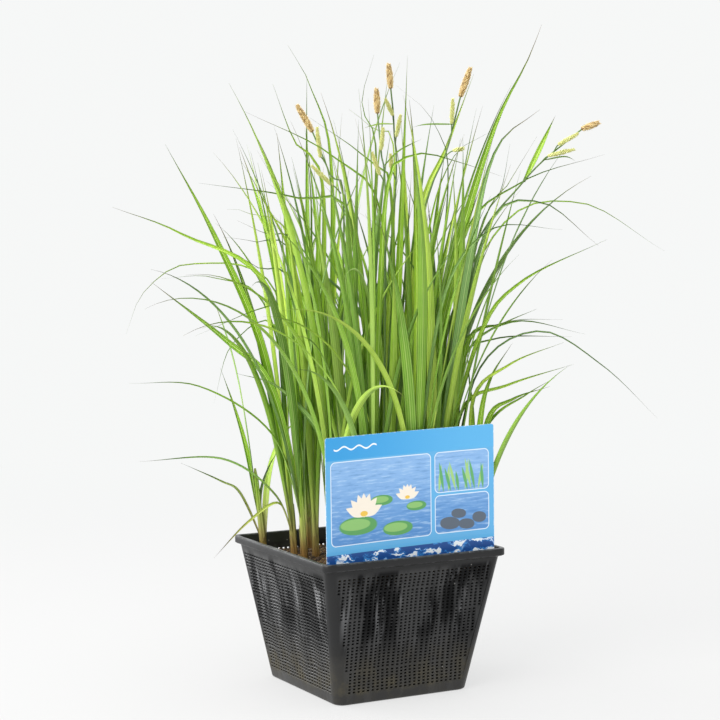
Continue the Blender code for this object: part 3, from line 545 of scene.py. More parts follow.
def bladeGuard(blade, beyond=0.0):
    # the blade's section with some clearance, from its root or from further up
    grow, last = growth["clearance"], len(blade["line"]) - 1
    whole = lengths(blade["line"])[-1]
    first = next(i for i, s in enumerate(blade["shares"]) if s * whole >= beyond or i == last - 1)
    points = []
    for i in range(first, last + 1):
        at, (_, side, face) = blade["line"][i], blade["frames"][i]
        half = max(blade["width"] * bladeWidth(blade["shares"][i]) / 2, 0.25 * mm) + grow
        points += [at + side * half, at - face * (keelDepth(half) + grow), at - side * half, at + face * grow]
    return points, loftFaces(last + 1 - first, 4)


def tubeGuard(line, radius, sides=6):
    points = []
    for at, (_, first, second) in zip(line, tubeFrames(line)):
        for k in range(sides):
            angle = 2 * math.pi * k / sides
            points.append(at + (first * math.cos(angle) + second * math.sin(angle)) * radius)
    return points, loftFaces(len(line), sides)


class Space:
    # what is already planted, so that nothing crosses another

    def __init__(self):
        self.skins, self.own = [], {}

    def add(self, owner, guard):
        self.skins.append((owner, BVHTree.FromPolygons(*guard)))

    def addBlade(self, owner, blade):
        self.add(owner, bladeGuard(blade))
        self.own.setdefault(owner, []).append(BVHTree.FromPolygons(*bladeGuard(blade, growth["parting"])))

    def crossings(self, owner, blade):
        whole = BVHTree.FromPolygons(*bladeGuard(blade))
        upper = BVHTree.FromPolygons(*bladeGuard(blade, growth["parting"]))
        met = sum(1 for other, skin in self.skins if other != owner and whole.overlap(skin))
        return met + sum(1 for skin in self.own.get(owner, []) if upper.overlap(skin))


def shootFoot(x, y):
    return Vector((x * mm, y * mm, heaped(x * mm, y * mm, *earth["planting"])))


def shootAxis(foot):
    out = Vector((foot.x - earth["moundAt"].x, foot.y - earth["moundAt"].y, 0)) / growth["spread"]
    return (Vector((0, 0, 1)) + out * growth["lean"]).normalized()


def sheathLine(foot, shares=(0.0, 0.5, 0.93, 1.0)):
    axis = shootAxis(foot)
    start = foot - axis * (earth["holeDepth"] - 2 * mm)
    return [start + axis * (growth["sheathHeight"] + earth["holeDepth"]) * t for t in shares]


def leadingBlade(row, foot, axis, towardTip):
    shoot, width, turn, *places = row
    rise = min(max(0.30 * (places[0][1] * mm - foot.z), 14 * mm), 66 * mm)
    root = foot + axis * rise
    start = root.dot(towardDir)
    points = [root - axis * 20 * mm, root]
    for i, (across, up) in enumerate(places):
        share = ease((i + 1) / len(places))
        points.append(onView(across, up, start + (towardTip - start) * share))
    line = spline(points)[12:]
    side = 1 if places[-1][0] * mm > root.dot(acrossDir) else -1
    turned = side * math.radians(turn)
    return makeBlade(line, width * mm, turned * 0.8, turned * 0.4)


def placeLeading(row, foot, axis, space, drift):
    # tried nearer and further until it crosses nothing
    best = None
    for attempt in range(growth["tries"]):
        shift = (attempt + 1) // 2 * 5 * mm * (1 if attempt % 2 else -1)
        blade = leadingBlade(row, foot, axis, foot.dot(towardDir) + drift + shift)
        met = space.crossings(row[0], blade)
        if best is None or met < best[0]:
            best = (met, blade)
        if met == 0:
            break
    return best


def fillingBlade(draw, foot, axis, low):
    rise = growth["sheathHeight"] * (0.20 + 0.62 * draw.random())
    root = foot + axis * rise
    kind = draw.random()
    azimuth = draw.uniform(-math.pi, math.pi)
    if kind < 0.58:
        lean, arch, length = draw.uniform(1, 6), draw.uniform(6, 28), draw.uniform(270, 390)
    elif kind < 0.84:
        lean, arch, length = draw.uniform(2, 8), draw.uniform(28, 62), draw.uniform(250, 360)
    else:
        facing = math.atan2(towardDir.y, towardDir.x) + (math.pi if draw.random() < 0.5 else 0)
        azimuth = facing + math.radians(draw.uniform(-55, 55))
        lean, arch, length = draw.uniform(6, 14), draw.uniform(70, 112), draw.uniform(230, 330)
    if low:
        length *= 0.6
    width = draw.uniform(5.2, 9.8) * mm
    root += heading(azimuth) * growth["rootOut"]
    bendPower = draw.uniform(1.3, 2.6)
    line = archingLine(root, azimuth, math.radians(lean), math.radians(arch), bendPower, length * mm)
    out = Vector((axis.x, axis.y, 0))
    line = [p + out * (p.z - root.z) for p in line]
    turn = math.radians(draw.uniform(-70, 70))
    return makeBlade(line, width, turn, math.radians(draw.uniform(-45, 45)))


def placeFilling(draw, owner, foot, axis, space):
    for _ in range(growth["tries"]):
        blade = fillingBlade(draw, foot, axis, owner in growth["lowShoots"])
        if space.crossings(owner, blade) == 0:
            return blade
    return None


def planShoots(space):
    plan = {}
    for name, spot in shootFeet.items():
        foot = shootFoot(*spot)
        plan[name] = {"foot": foot, "axis": shootAxis(foot), "blades": []}
        space.add(name, tubeGuard(sheathLine(foot), growth["sheathRadius"] + growth["clearance"]))
    draw = random.Random(growth["seed"])
    for row in leadingBlades.values():
        shoot = plan[row[0]]
        drift = draw.uniform(-45, 45) * mm
        met, blade = placeLeading(row, shoot["foot"], shoot["axis"], space, drift)
        if not met:
            shoot["blades"].append(blade)
            space.addBlade(row[0], blade)
    for _ in range(growth["blades"] + 1):
        for name, shoot in plan.items():
            wanted = growth["lowBlades"] if name in growth["lowShoots"] else growth["blades"]
            if len(shoot["blades"]) >= wanted + growth["extra"].get(name, 0):
                continue
            blade = placeFilling(draw, name, shoot["foot"], shoot["axis"], space)
            if blade:
                shoot["blades"].append(blade)
                space.addBlade(name, blade)
    return plan


def atHeight(line, z):
    for a, b in zip(line, line[1:]):
        if a.z <= z <= b.z:
            return a.lerp(b, (z - a.z) / max(b.z - a.z, 1e-9))
    return line[-1].copy()


def planCulms(space):
    plan = {}
    for name, (spot, *places) in culmRows.items():
        foot = shootFoot(*spot)
        start = foot.dot(towardDir)
        points = [foot - Vector((0, 0, earth["holeDepth"] - 2 * mm)), foot + Vector((0, 0, 20 * mm))]
        points += [onView(a, up, start * (1 - 0.35 * i)) for i, (a, up) in enumerate(places[:-1])]
        fine = spline(points)
        line = stations(fine, least=7)
        space.add(name, tubeGuard(line, growth["culmRadius"] + growth["clearance"]))
        ends = [(line[-1], onView(*places[-1], line[-1].dot(towardDir)), growth["spikeRadius"])]
        for foot, tip in sideSpikes[name]:
            depth = atHeight(line, foot[1] * mm).dot(towardDir) + growth["sideSpikeAway"]
            ends.append((onView(*foot, depth), onView(*tip, depth + 3 * mm), growth["sideSpikeRadius"]))
        for foot, tip, radius in ends:
            space.add(name, tubeGuard([foot, foot.lerp(tip, 0.5), tip], radius * 1.3 + growth["clearance"]))
        plan[name] = {"line": line, "fine": fine, "spikes": ends, "bracts": []}
    for name, width, turn, *places in bractRows:
        start = atHeight(plan[name]["line"], places[0][1] * mm)
        depth = start.dot(towardDir)
        points = [start] + [onView(a, up, depth - 3 * mm) for a, up in places[1:]]
        blade = makeBlade(spline(points), width * mm, math.radians(turn), 0)
        plan[name]["bracts"].append(blade)
        space.addBlade(name, blade)
    return plan


def planAll():
    space = Space()
    half, low = card["width"] / 2 + 2 * mm, -2 * mm
    corners = [(-half, low), (half, low), (half, card["height"]), (-half, card["height"])]
    slab = [cardPlace() @ Vector((x, y, z)) for y in (-1 * mm, card["bow"] + 1 * mm) for x, z in corners]
    space.add("label", (slab, [(0, 1, 2, 3), (4, 5, 6, 7), (0, 1, 5, 4), (2, 3, 7, 6)]))
    rim = squareRing(pot["rimHalf"] + 1 * mm, pot["lipZ"] - 4 * mm)
    rim += squareRing(pot["rimHalf"] - pot["lipWidth"] - 1 * mm, pot["height"] + 1 * mm)
    space.add("rim", (rim, loftFaces(2, len(rim) // 2)))
    culms = planCulms(space)
    return culms, planShoots(space)


culms, shoots = planAll()
print("clump planned:", sum(len(s["blades"]) for s in shoots.values()), "blades")


# effects shared by several finishes

def makeEffect(name, inputs, outputs, build):
    tree = bpy.data.node_groups.new(name, "ShaderNodeTree")
    net, given, result = withSockets(tree, inputs, outputs)
    build(net, given, result)
    return tree


def buildGrain(net, given, result):
    # fine unevenness: a height and a slow tone from the same place
    net.feed(result["Height"], net.noise(given["Place"], given["Scale"], 3.0, 0.6))
    net.feed(result["Tone"], net.noise(given["Place"], given["Scale"] * 0.06, 3.0, 0.55))


def buildGrime(net, given, result):
    # soil washed onto a surface: strongest below a height, in blotches
    low = net.fade(net.xyz(given["Place"])[2], given["Low"], given["High"], 1.0, 0.0)
    blot = net.fade(net.noise(given["Place"], given["Scale"], 5.0, 0.65), 0.42, 0.66)
    net.feed(result["Mask"], low * (blot * 0.75 + 0.25))


def buildSpecks(net, given, result):
    # small pale chips and dust, scattered
    cell = net.add("ShaderNodeTexVoronoi", {"Vector": given["Place"], "Scale": given["Scale"]}, feature="F1")
    dot = net.fade(net.out(cell, "Distance"), 0.05, given["Size"], 1.0, 0.0)
    picked = net.xyz(net.out(cell, "Color"))[0] > 1.0 - given["Share"]
    net.feed(result["Mask"], dot * picked)


def floats(**values):
    return [(name, "Float", value) for name, value in values.items()]


placeRow, maskRow = [("Place", "Vector", None)], [("Mask", "Float", None)]
grainEffect = makeEffect("grain", placeRow + floats(Scale=900.0), floats(Height=None, Tone=None), buildGrain)
grimeEffect = makeEffect("grime", placeRow + floats(Scale=60.0, Low=0.0, High=0.05), maskRow, buildGrime)
speckEffect = makeEffect("specks", placeRow + floats(Scale=500.0, Size=0.3, Share=0.05), maskRow, buildSpecks)


def newFinish(name):
    made = bpy.data.materials.new(name)
    made.use_nodes = True
    net = Net(made.node_tree)
    where = net.out(net.add("ShaderNodeTexCoord"), "Object")
    return made, net, made.node_tree.nodes["Principled BSDF"].inputs, where


def effectOf(net, effect, **inputs):
    node = net.add("ShaderNodeGroup", inputs, node_tree=effect)
    return {socket.name: Wire(net, socket) for socket in node.outputs}


def settle(net, shader, tone, rough, height, distance, strength):
    # a finish ends in its colour, its roughness and its unevenness
    net.feed(shader["Base Color"], tone)
    net.feed(shader["Roughness"], rough)
    net.feed(shader["Normal"], net.bump(height, distance, strength))


# basket

# the pale grey of the streaks is painted sheen; the dark grey of the lighter patches is partly dust, partly
# painted sheen
basketLook = {
    "black": (0.003, 0.0031, 0.0035), "dustAndSheen": (0.022, 0.0223, 0.023), "sheenStreak": (0.13, 0.132, 0.136),
    "worn": (0.075, 0.076, 0.078), "grime": (0.074, 0.063, 0.036), "chip": (0.32, 0.31, 0.29),
    "roughness": 0.38,
}
basketRows = {  # height, half width and corner radius of the foot's and the lip's edges, in mm
    "foot": ((0.0, 64.7, 7.4), (0.5, 66.1, 8.6), (1.4, 67.2, 9.5)),
    "lip": ((122.4, 88.1, 7.0), (123.2, 89.1, 7.0), (123.6, 90.8, 7.0), (124.2, 91.8, 7.0),
            (124.9, 92.0, 7.0), (129.5, 92.0, 7.0), (130.2, 91.7, 6.7), (130.5, 91.1, 6.2),
            (130.5, 88.9, 5.4), (130.1, 88.3, 5.1), (129.2, 87.9, 5.0), (124.0, 86.8, 5.0)),
    "band": (120.2 * mm, 121.6 * mm), "steps": 7, "sharp": 32, "overlap": 0.2 * mm,
}
wallMesh = {  # tiers of holes from the top: rows and columns in each
    "tiers": ((5, 33), (8, 31), (8, 29), (8, 27), (7, 25)), "top": 116.7 * mm, "row": 2.86 * mm,
    "column": 4.7 * mm, "gap": 0.8 * mm, "tall": 0.5, "wide": 1.02, "recess": 0.35 * mm,
    "thick": 1.5 * mm, "wave": 1.5 * mm, "waves": 5.3, "phase": (0.6, 2.3),
}
wallMesh["low"] = wallMesh["top"] - sum(t[0] * wallMesh["row"] + wallMesh["gap"] for t in wallMesh["tiers"])


def basketFinish():
    made, net, shader, where = newFinish("basketBlack")
    look = basketLook
    x, y, z = net.xyz(where)
    reach = net.calc("MAXIMUM", abs(x), abs(y))
    # the walls have black patches, lighter patches that are partly dust and partly painted sheen, and pale
    # streaks of painted sheen; the corners and the lip are even
    flat = net.fade(net.calc("MINIMUM", abs(x), abs(y)) / reach, 0.85, 0.93, 1.0, 0.0)
    flat = flat * net.fade(z, 116 * mm, 121 * mm, 1.0, 0.0)
    patch = net.fade(net.noise(where, 42.0, 4.0, 0.6, (1.0, 1.0, 0.12)), 0.42, 0.60)
    # lighter patches on the flat walls, partly dust and partly painted sheen; low on the wall the lighter tone
    # is dust
    dustAndSheen = patch * flat + (1.0 - flat) * 0.55
    dustAndSheen = net.calc("MAXIMUM", dustAndSheen, net.fade(z, 35 * mm, 75 * mm, 0.7, 0.0))
    # pale vertical streaks in the upper wall: painted sheen, a lighter colour standing for highlights
    lines = net.fade(net.noise(where, 105.0, 3.0, 0.6, (1.0, 1.0, 0.07)), 0.56, 0.72)
    lines = lines * (net.fade(z, 35 * mm, 90 * mm) * flat)
    sheen = net.calc("MAXIMUM", dustAndSheen, lines)
    net.feed(shader["Specular IOR Level"], net.fade(sheen, 0.0, 1.0, 0.12, 0.46))
    grime = effectOf(net, grimeEffect, Place=where, Scale=75.0, Low=4 * mm, High=62 * mm)["Mask"]
    grime = grime * net.fade(z, 7 * mm, 12 * mm, 0.3, 1.0)
    # worn along the lip's upper and lower edge
    lipFoot = net.fade(z, 122.4 * mm, 123.8 * mm) * net.fade(z, 123.8 * mm, 125.2 * mm, 1.0, 0.0)
    edge = net.calc("ADD", net.fade(z, 128.7 * mm, 130.4 * mm), lipFoot, clamp=True)
    edge = edge * net.fade(reach, 87.2 * mm, 88.4 * mm)
    worn = edge * net.fade(net.noise(where, 180.0, 4.0, 0.7), 0.40, 0.62)
    chips = effectOf(net, speckEffect, Place=where, Scale=210.0, Size=0.19, Share=0.035)["Mask"]
    # base colour: black lightened by dust and painted sheen, then painted sheen streaks, grime, wear and chips
    tone = net.mix(dustAndSheen, look["black"], look["dustAndSheen"])
    tone = net.over(tone, (lines * 0.75, look["sheenStreak"]), (grime * 0.75, look["grime"]),
                    (worn * 0.8, look["worn"]), (chips * 0.6, look["chip"]))
    grain = effectOf(net, grainEffect, Place=where, Scale=1300.0)
    rough = net.calc("ADD", grime * 0.30 + look["roughness"], (grain["Tone"] - 0.5) * 0.35, clamp=True)
    settle(net, shader, tone, rough, grain["Height"], 0.06 * mm, 0.8)
    return made


def basketFrame(finish):
    # foot, corner posts, band and lip in one closed shell, with a window in each wall
    steps = basketRows["steps"]
    low, high = wallMesh["low"] + basketRows["overlap"], wallMesh["top"] - basketRows["overlap"]
    band = basketRows["band"]

    def onWall(z, out=0.0):
        return z, wallHalf(z) + out, wallCorner(z) + out

    foot, lip = ([tuple(v * mm for v in row) for row in basketRows[key]] for key in ("foot", "lip"))
    outer = foot + [onWall(z) for z in (pot["footRound"], low, high, *band)] + lip
    profile = outer + [onWall(z, -pot["wall"]) for z in (*reversed(band), high, low, pot["floor"])]
    count = 4 * (steps + 1)
    points = [p for z, half, radius in profile for p in squareRing(half, z, radius, steps)]
    windowOut, windowIn = len(foot) + 1, len(outer) + 2
    faces = []
    for n, face in enumerate(loftFaces(len(profile), count)):
        if n // count not in (windowOut, windowIn) or n % (steps + 1) != steps:
            faces.append(face)
    faces += [range(count), range(len(points) - count, len(points))]
    for j in range(steps, count, steps + 1):
        sides = (j, (j + 1) % count)
        rows = (windowOut, windowOut + 1, windowIn, windowIn + 1)
        near, far = ([row * count + n for row in rows] for n in sides)
        faces += [near, far, (near[0], near[3], far[3], far[0]), (near[1], far[1], far[2], near[2])]
    shell = newObject("basket_frame", points, (), faces, finish)
    return smoothShade(outward(shell, mend=True), basketRows["sharp"])


def wallTree():
    # one tier of a perforated wall, laid out as a grid of cells and then bent to the basket's side
    rows = [("Columns", "Int", 29), ("Rows", "Int", 8)] + floats(Middle=0.05, Phase=0.0, Turn=0.0)
    net, given, result = geometryTree("perforatedWall", rows)
    form = wallMesh
    across, tall = given["Columns"] + 2, given["Rows"] + 2
    sizes = {"Size X": across, "Size Y": tall, "Vertices X": across + 1, "Vertices Y": tall + 1}
    grid = net.add("GeometryNodeMeshGrid", sizes)
    x, y, _ = net.xyz(net.add("GeometryNodeInputPosition"))
    side, rise = abs(x), abs(y)
    halfX, halfY = given["Columns"] * 0.5, given["Rows"] * 0.5
    inputs = {"Mesh": grid, "Selection": (side < halfX) * (rise < halfY), "Offset Scale": 0.0,
              "Individual": True}
    cells = net.add("GeometryNodeExtrudeMesh", inputs, mode="FACES")
    hole = net.out(cells, "Top")
    inputs = {"Geometry": cells, "Selection": hole, "Scale": form["tall"]}
    cells = net.add("GeometryNodeScaleElements", inputs, domain="FACE")
    inputs = {"Geometry": cells, "Selection": hole, "Scale": form["wide"], "Axis": (1.0, 0.0, 0.0)}
    cells = net.add("GeometryNodeScaleElements", inputs, domain="FACE", scale_mode="SINGLE_AXIS")
    inputs = {"Geometry": net.store(cells, "rim", hole), "Selection": hole}
    cells = net.add("GeometryNodeDeleteGeometry", inputs, domain="FACE", mode="ALL")
    # where each point of the grid lies on the tapered, wavy wall; the outer cells reach the frame
    beyond = net.calc("MAXIMUM", rise - halfY, 0.0) * (form["gap"] / 2 + 0.02 * mm)
    rise = net.calc("MINIMUM", rise, halfY) * form["row"] + beyond
    z = given["Middle"] + net.calc("SIGN", y) * rise
    half = wallHalf(z)
    outer = net.calc("SIGN", x) * (half - wallCorner(z) + 0.4 * mm)
    inputs = {"Switch": side > halfX + 0.5, "False": x * form["column"], "True": outer}
    x = net.made("GeometryNodeSwitch", inputs, input_type="FLOAT")
    turned = x / half
    fall = 1.0 - abs(turned) ** 4.0
    wave = net.calc("SINE", turned * (form["waves"] * math.pi) + given["Phase"])
    slow = net.calc("SINE", turned * 2.1 + given["Phase"] * 1.7)
    ends = net.fade(z, form["low"], form["low"] + 22 * mm)
    ends = ends * net.fade(z, form["top"] - 20 * mm, form["top"], 1.0, 0.0)
    depth = ((wave + 1.0) * 0.5 + (slow + 1.0) * 0.5) * form["wave"] * (fall * ends)
    depth = depth + 0.05 * mm + net.named("rim") * form["recess"]
    front = net.moved(cells, "Position", net.together(x, depth - half, z))
    inputs = {"Mesh": net.add("GeometryNodeFlipFaces", {"Mesh": front}), "Offset Scale": 1.0,
              "Offset": net.together(0.0, form["thick"], 0.0), "Individual": False}
    back = net.add("GeometryNodeExtrudeMesh", inputs, mode="FACES")
    both = net.add("GeometryNodeJoinGeometry")
    for skin in (front, back):
        net.feed(both.inputs[0], skin)
    shut = net.add("GeometryNodeMergeByDistance", {"Geometry": both, "Distance": 0.01 * mm})
    turn = net.together(0.0, 0.0, given["Turn"])
    placed = net.add("GeometryNodeTransform", {"Geometry": shut, "Rotation": turn})
    return closeTree(net, placed, given, result)


def makeBasket():
    finish = basketFinish()
    place(basketFrame(finish), "basket_plastic", "pond_basket")
    tree = wallTree()
    first, each = wallMesh["phase"]
    for i, name in enumerate(("front", "right", "back", "left")):
        high = wallMesh["top"]
        for tier, (rows, columns) in enumerate(wallMesh["tiers"]):
            tall = rows * wallMesh["row"] + wallMesh["gap"]
            values = {"Columns": columns, "Rows": rows, "Middle": high - tall / 2, "Phase": first + each * i,
                      "Turn": i * math.pi / 2, "Material": finish}
            wall = runTree(newObject(f"basket_mesh_{name}_{tier + 1}"), tree, values)
            place(outward(wall), "basket_plastic", "pond_basket")
            high -= tall
    print("basket built")


makeBasket()


# soil

soilLook = {
    "dark": (0.014, 0.007, 0.002), "mid": (0.052, 0.027, 0.008), "light": (0.15, 0.090, 0.030),
    # the near black is painted shade, for the soil's sides seen through the basket's holes
    "pearl": (0.62, 0.60, 0.55), "deep": (0.002, 0.002, 0.002), "crack": (0.03, 0.017, 0.01),
    "crumbs": [(0.0, (0.010, 0.005, 0.002)), (0.35, (0.038, 0.019, 0.006)), (0.7, (0.10, 0.051, 0.015)),
               (1.0, (0.23, 0.145, 0.050))],
}
soilForm = {
    "rings": 30, "steps": 9, "corner": 6.0 * mm, "inset": 2.6 * mm, "crumbsInset": 3.4 * mm, "sink": 0.4 * mm,
    "rough": 0.5 * mm, "waves": (2.1 * mm, 1.7 * mm), "overFloor": 0.5 * mm,
}
soilGrain = {"seed": 4, "kinds": {
    "Crumbs": {"many": 3600.0, "sizes": (0.55 * mm, 2.1 * mm), "stretch": (1.0, 1.0, 0.8), "seed": 1,
               "turn": ((0.0, 0.0, 0.0), (6.28, 6.28, 6.28)), "pale": 0.0, "uneven": 0.22},
    "Fibres": {"many": 420.0, "sizes": (1.6 * mm, 6.0 * mm), "stretch": (0.09, 0.09, 1.0), "seed": 2,
               "turn": ((1.25, -0.3, 0.0), (1.85, 0.3, 6.28)), "pale": 0.6, "uneven": 0.0},
}}


def soilFinish():
    made, net, shader, where = newFinish("pottingSoil")
    look = soilLook
    coarse = net.noise(where, 260.0, 5.0, 0.7)
    tone = net.ramp(coarse, [(0.30, look["dark"]), (0.52, look["mid"]), (0.74, look["light"])])
    z = net.xyz(where)[2]
    pearls = effectOf(net, speckEffect, Place=where, Scale=240.0, Size=0.33, Share=0.035)["Mask"]
    # below the surface the soil's sides are painted near black: painted shade where they show through the
    # basket's holes
    tone = net.over(tone, (pearls * net.fade(z, 85 * mm, 98 * mm, 0.0, 0.85), look["pearl"]),
                    (net.fade(z, 100 * mm, 112 * mm, 0.97, 0.0), look["deep"]))
    grain = effectOf(net, grainEffect, Place=where, Scale=520.0)
    settle(net, shader, tone, net.fade(coarse, 0.2, 0.8, 1.0, 0.82), grain["Height"], 0.9 * mm, 0.9)
    return made


def crumbFinish():
    made, net, shader, where = newFinish("soilCrumbs")
    tone = net.ramp(net.painted("pick"), soilLook["crumbs"])
    grain = effectOf(net, grainEffect, Place=where, Scale=900.0)
    tone = net.mix(net.fade(grain["Height"], 0.35, 0.65, 0.55, 0.0), tone, soilLook["crack"])
    settle(net, shader, tone, net.fade(grain["Tone"], 0.2, 0.8, 0.98, 0.85), grain["Height"], 0.3 * mm, 0.7)
    return made


def soilSurface(name, finish, bottom, inset):
    # rings from the basket's wall to the middle, heaped and lumpy; a body when it has a bottom
    form, steps, (waveX, waveY) = soilForm, soilForm["steps"], soilForm["waves"]
    count = 4 * (steps + 1)
    points = []
    if bottom:
        points += squareRing(wallHalf(bottom) - pot["wall"] - inset, bottom, form["corner"], steps)
    half = wallHalf(earth["surface"][0]) - pot["wall"] - inset
    for i in range(form["rings"]):
        share = 1 - i / form["rings"]
        for p in squareRing(half * share, 0, form["corner"] * share, steps):
            rough = form["rough"] * math.sin(p.x / waveX) * math.sin(p.y / waveY + 0.8)
            points.append((p.x, p.y, heaped(p.x, p.y, *earth["surface"]) + rough - form["sink"]))
    faces = loftFaces(len(points) // count, count) + [tuple(range(len(points) - count, len(points)))]
    if bottom:
        faces.append(tuple(reversed(range(count))))
    return newObject(name, points, (), faces, finish)


def crumbTree():
    # crumbs and thin fibres strewn over the soil
    rows = floats(Crumbs=1000.0, Fibres=100.0) + [("Seed", "Int", 0)]
    net, given, result = geometryTree("soilCrumbs", rows)
    joined = net.add("GeometryNodeJoinGeometry")
    for kind, form in soilGrain["kinds"].items():
        seed = given["Seed"] + form["seed"]
        inputs = {"Mesh": given["Geometry"], "Density": given[kind] * 40.0, "Seed": seed}
        strewn = net.made("GeometryNodeDistributePointsOnFaces", inputs)
        lump = net.add("GeometryNodeMeshIcoSphere", {"Radius": 1.0, "Subdivisions": 1})
        lump = net.add("GeometryNodeTransform", {"Geometry": lump, "Scale": form["stretch"]})
        if form["uneven"]:
            lump = net.moved(lump, "Offset", net.chance((-form["uneven"],) * 3, (form["uneven"],) * 3, seed))
        small, large = form["sizes"]
        size = small + net.chance(0.0, 1.0, seed + 7) ** 2.6 * (large - small)
        turn = net.chance(*form["turn"], seed)
        inputs = {"Points": strewn, "Instance": lump, "Rotation": turn, "Scale": size}
        placed = net.add("GeometryNodeInstanceOnPoints", inputs)
        pick = form["pale"] + net.chance(0.0, 1.0, seed + 31) * (1.0 - form["pale"])
        net.feed(joined.inputs[0], net.store(placed, "pick", pick, "INSTANCE"))
    return closeTree(net, joined, given, result)


def makeSoil():
    body = soilSurface("soil_body", soilFinish(), pot["floor"] + soilForm["overFloor"], soilForm["inset"])
    smoothShade(outward(body), 60)
    place(body, "potting_soil", "potting_soil")
    strewn = soilSurface("soil_crumbs", None, None, soilForm["crumbsInset"])
    values = {kind: form["many"] for kind, form in soilGrain["kinds"].items()}
    runTree(strewn, crumbTree(), {**values, "Seed": soilGrain["seed"], "Material": crumbFinish()})
    place(strewn, "potting_soil", "potting_soil")
    print("soil strewn:", len(strewn.data.polygons), "faces")


makeSoil()


# blades, sheaths and stems: one tree sweeps a section along each line

sweepForms = {
    "blade": {"Sides": 12, "Flat": 0.06, "Ridge": 0.10}, "sheath": {"Sides": 15, "Flat": 1.0, "Lobes": 0.07},
    "stem": {"Sides": 9, "Flat": 1.0, "Lobes": 0.13}, "core": {"Sides": 8, "Flat": 1.0},
}
bladeSteps = 26


def sweepTree():
    rows = [("Sides", "Int", 12)] + floats(Flat=0.06, Lobes=0.0, Ridge=0.0)
    net, given, result = geometryTree("sweep", rows)
    lines = net.add("GeometryNodeMeshToCurve", {0: given["Geometry"]})
    inputs = {"Curve": lines, "Normal": net.named("side", "FLOAT_VECTOR")}
    lines = net.add("GeometryNodeSetCurveNormal", inputs, mode="FREE")
    inputs = {"Resolution": given["Sides"], "Radius": 1.0}
    ring = net.add("GeometryNodeCurvePrimitiveCircle", inputs, mode="RADIUS")
    x, y, _ = net.xyz(net.add("GeometryNodeInputPosition"))
    angle = net.calc("ARCTAN2", y, x)
    for name, value in (("across", x), ("upper", y > 0.01), ("around", angle / math.pi)):
        ring = net.store(ring, name, value)
    lobe = given["Lobes"] * net.calc("COSINE", angle * 3.0) + 1.0
    ring = net.moved(ring, "Position", net.together(x * lobe, y * lobe * given["Flat"]))
    half = net.named("half")
    inputs = {"Curve": lines, "Profile Curve": ring, "Scale": half, "Fill Caps": True}
    swept = net.add("GeometryNodeCurveToMesh", inputs)
    # the section is folded along its middle, with a ridge on each side of the fold
    across = net.named("across")
    off = 1.0 - abs(across)
    ridge = net.calc("COSINE", across * (3 * math.pi)) * given["Ridge"] * (half * off)
    sink = net.named("keel") * off - ridge
    down = net.vec("SCALE", net.named("face", "FLOAT_VECTOR"), sink * -1.0)
    folded = net.smooth(net.moved(swept, "Offset", down))
    for name in ("side", "face", "keel", "half"):
        folded = net.add("GeometryNodeRemoveAttribute", {"Geometry": folded, "Name": name})
    return closeTree(net, folded, given, result)


class Strands:
    # lines with what the sweep needs at each of their points

    def __init__(self):
        self.points, self.edges, self.values = [], [], {}

    def add(self, line, frames, halves, keels, tint=0.5, grey=0.0, dry=0.0):
        base, count = len(self.points), len(line)
        self.points += line
        self.edges += [(base + i, base + i + 1) for i in range(count - 1)]
        _, sides, faces = zip(*frames)
        columns = {"side": sides, "face": faces, "half": halves, "keel": keels,
                   "along": [i / (count - 1) for i in range(count)], "tint": [tint] * count,
                   "grey": [grey] * count, "dry": [dry] * count}
        for name, column in columns.items():
            self.values.setdefault(name, []).extend(column)

    def swept(self, name, form, finish):
        obj = newObject(name, self.points, self.edges)
        for key, column in self.values.items():
            addAttribute(obj.data, key, column)
        return outward(runTree(obj, sweep, {**sweepForms[form], "Material": finish}))


def bladeStrand(strands, blade, **look):
    shares = [i / bladeSteps for i in range(bladeSteps + 1)]
    line = sampled(blade["fine"], bladeSteps)
    frames = bladeFrames(line, blade["turn"], blade["twist"], shares)
    halves = [max(blade["width"] * bladeWidth(s) / 2, (0.26 - 0.2 * s**3) * mm) for s in shares]
    keels = [keelDepth(half) * min(1.0, half / (0.7 * mm)) for half in halves]
    strands.add(line, frames, halves, keels, **look)


def tubeStrand(strands, line, radiusAt, **look):
    last = len(line) - 1
    radii = [radiusAt(i / last) for i in range(last + 1)]
    strands.add(line, tubeFrames(line), radii, [0.0] * (last + 1), **look)


sweep = sweepTree()


# leaves

leafLook = {
    "deep": (0.050, 0.140, 0.002), "green": (0.140, 0.325, 0.005), "fresh": (0.300, 0.560, 0.014),
    "bright": (0.54, 0.76, 0.07), "bloom": (0.24, 0.39, 0.19), "rib": (0.74, 0.88, 0.32),
    "straw": (0.42, 0.36, 0.13), "bark": (0.22, 0.105, 0.030), "withered": (0.40, 0.27, 0.13),
    "shine": 0.27,
}
shootForm = {"seed": 5, "outer": 150 * mm, "sheathSteps": 10, "sheathEnd": 0.9 * mm}
oldLeaves = {  # hugging each shoot's foot: half widths and keels run up to the tip, in mm
    "many": 3, "high": (24, 62), "deep": 4, "away": 2.5, "bow": 0.9,
    "halves": (2.6, 2.5, 2.2, 1.7, 0.4), "keels": (-1.5, -1.4, -1.1, -0.7, 0.0),
}


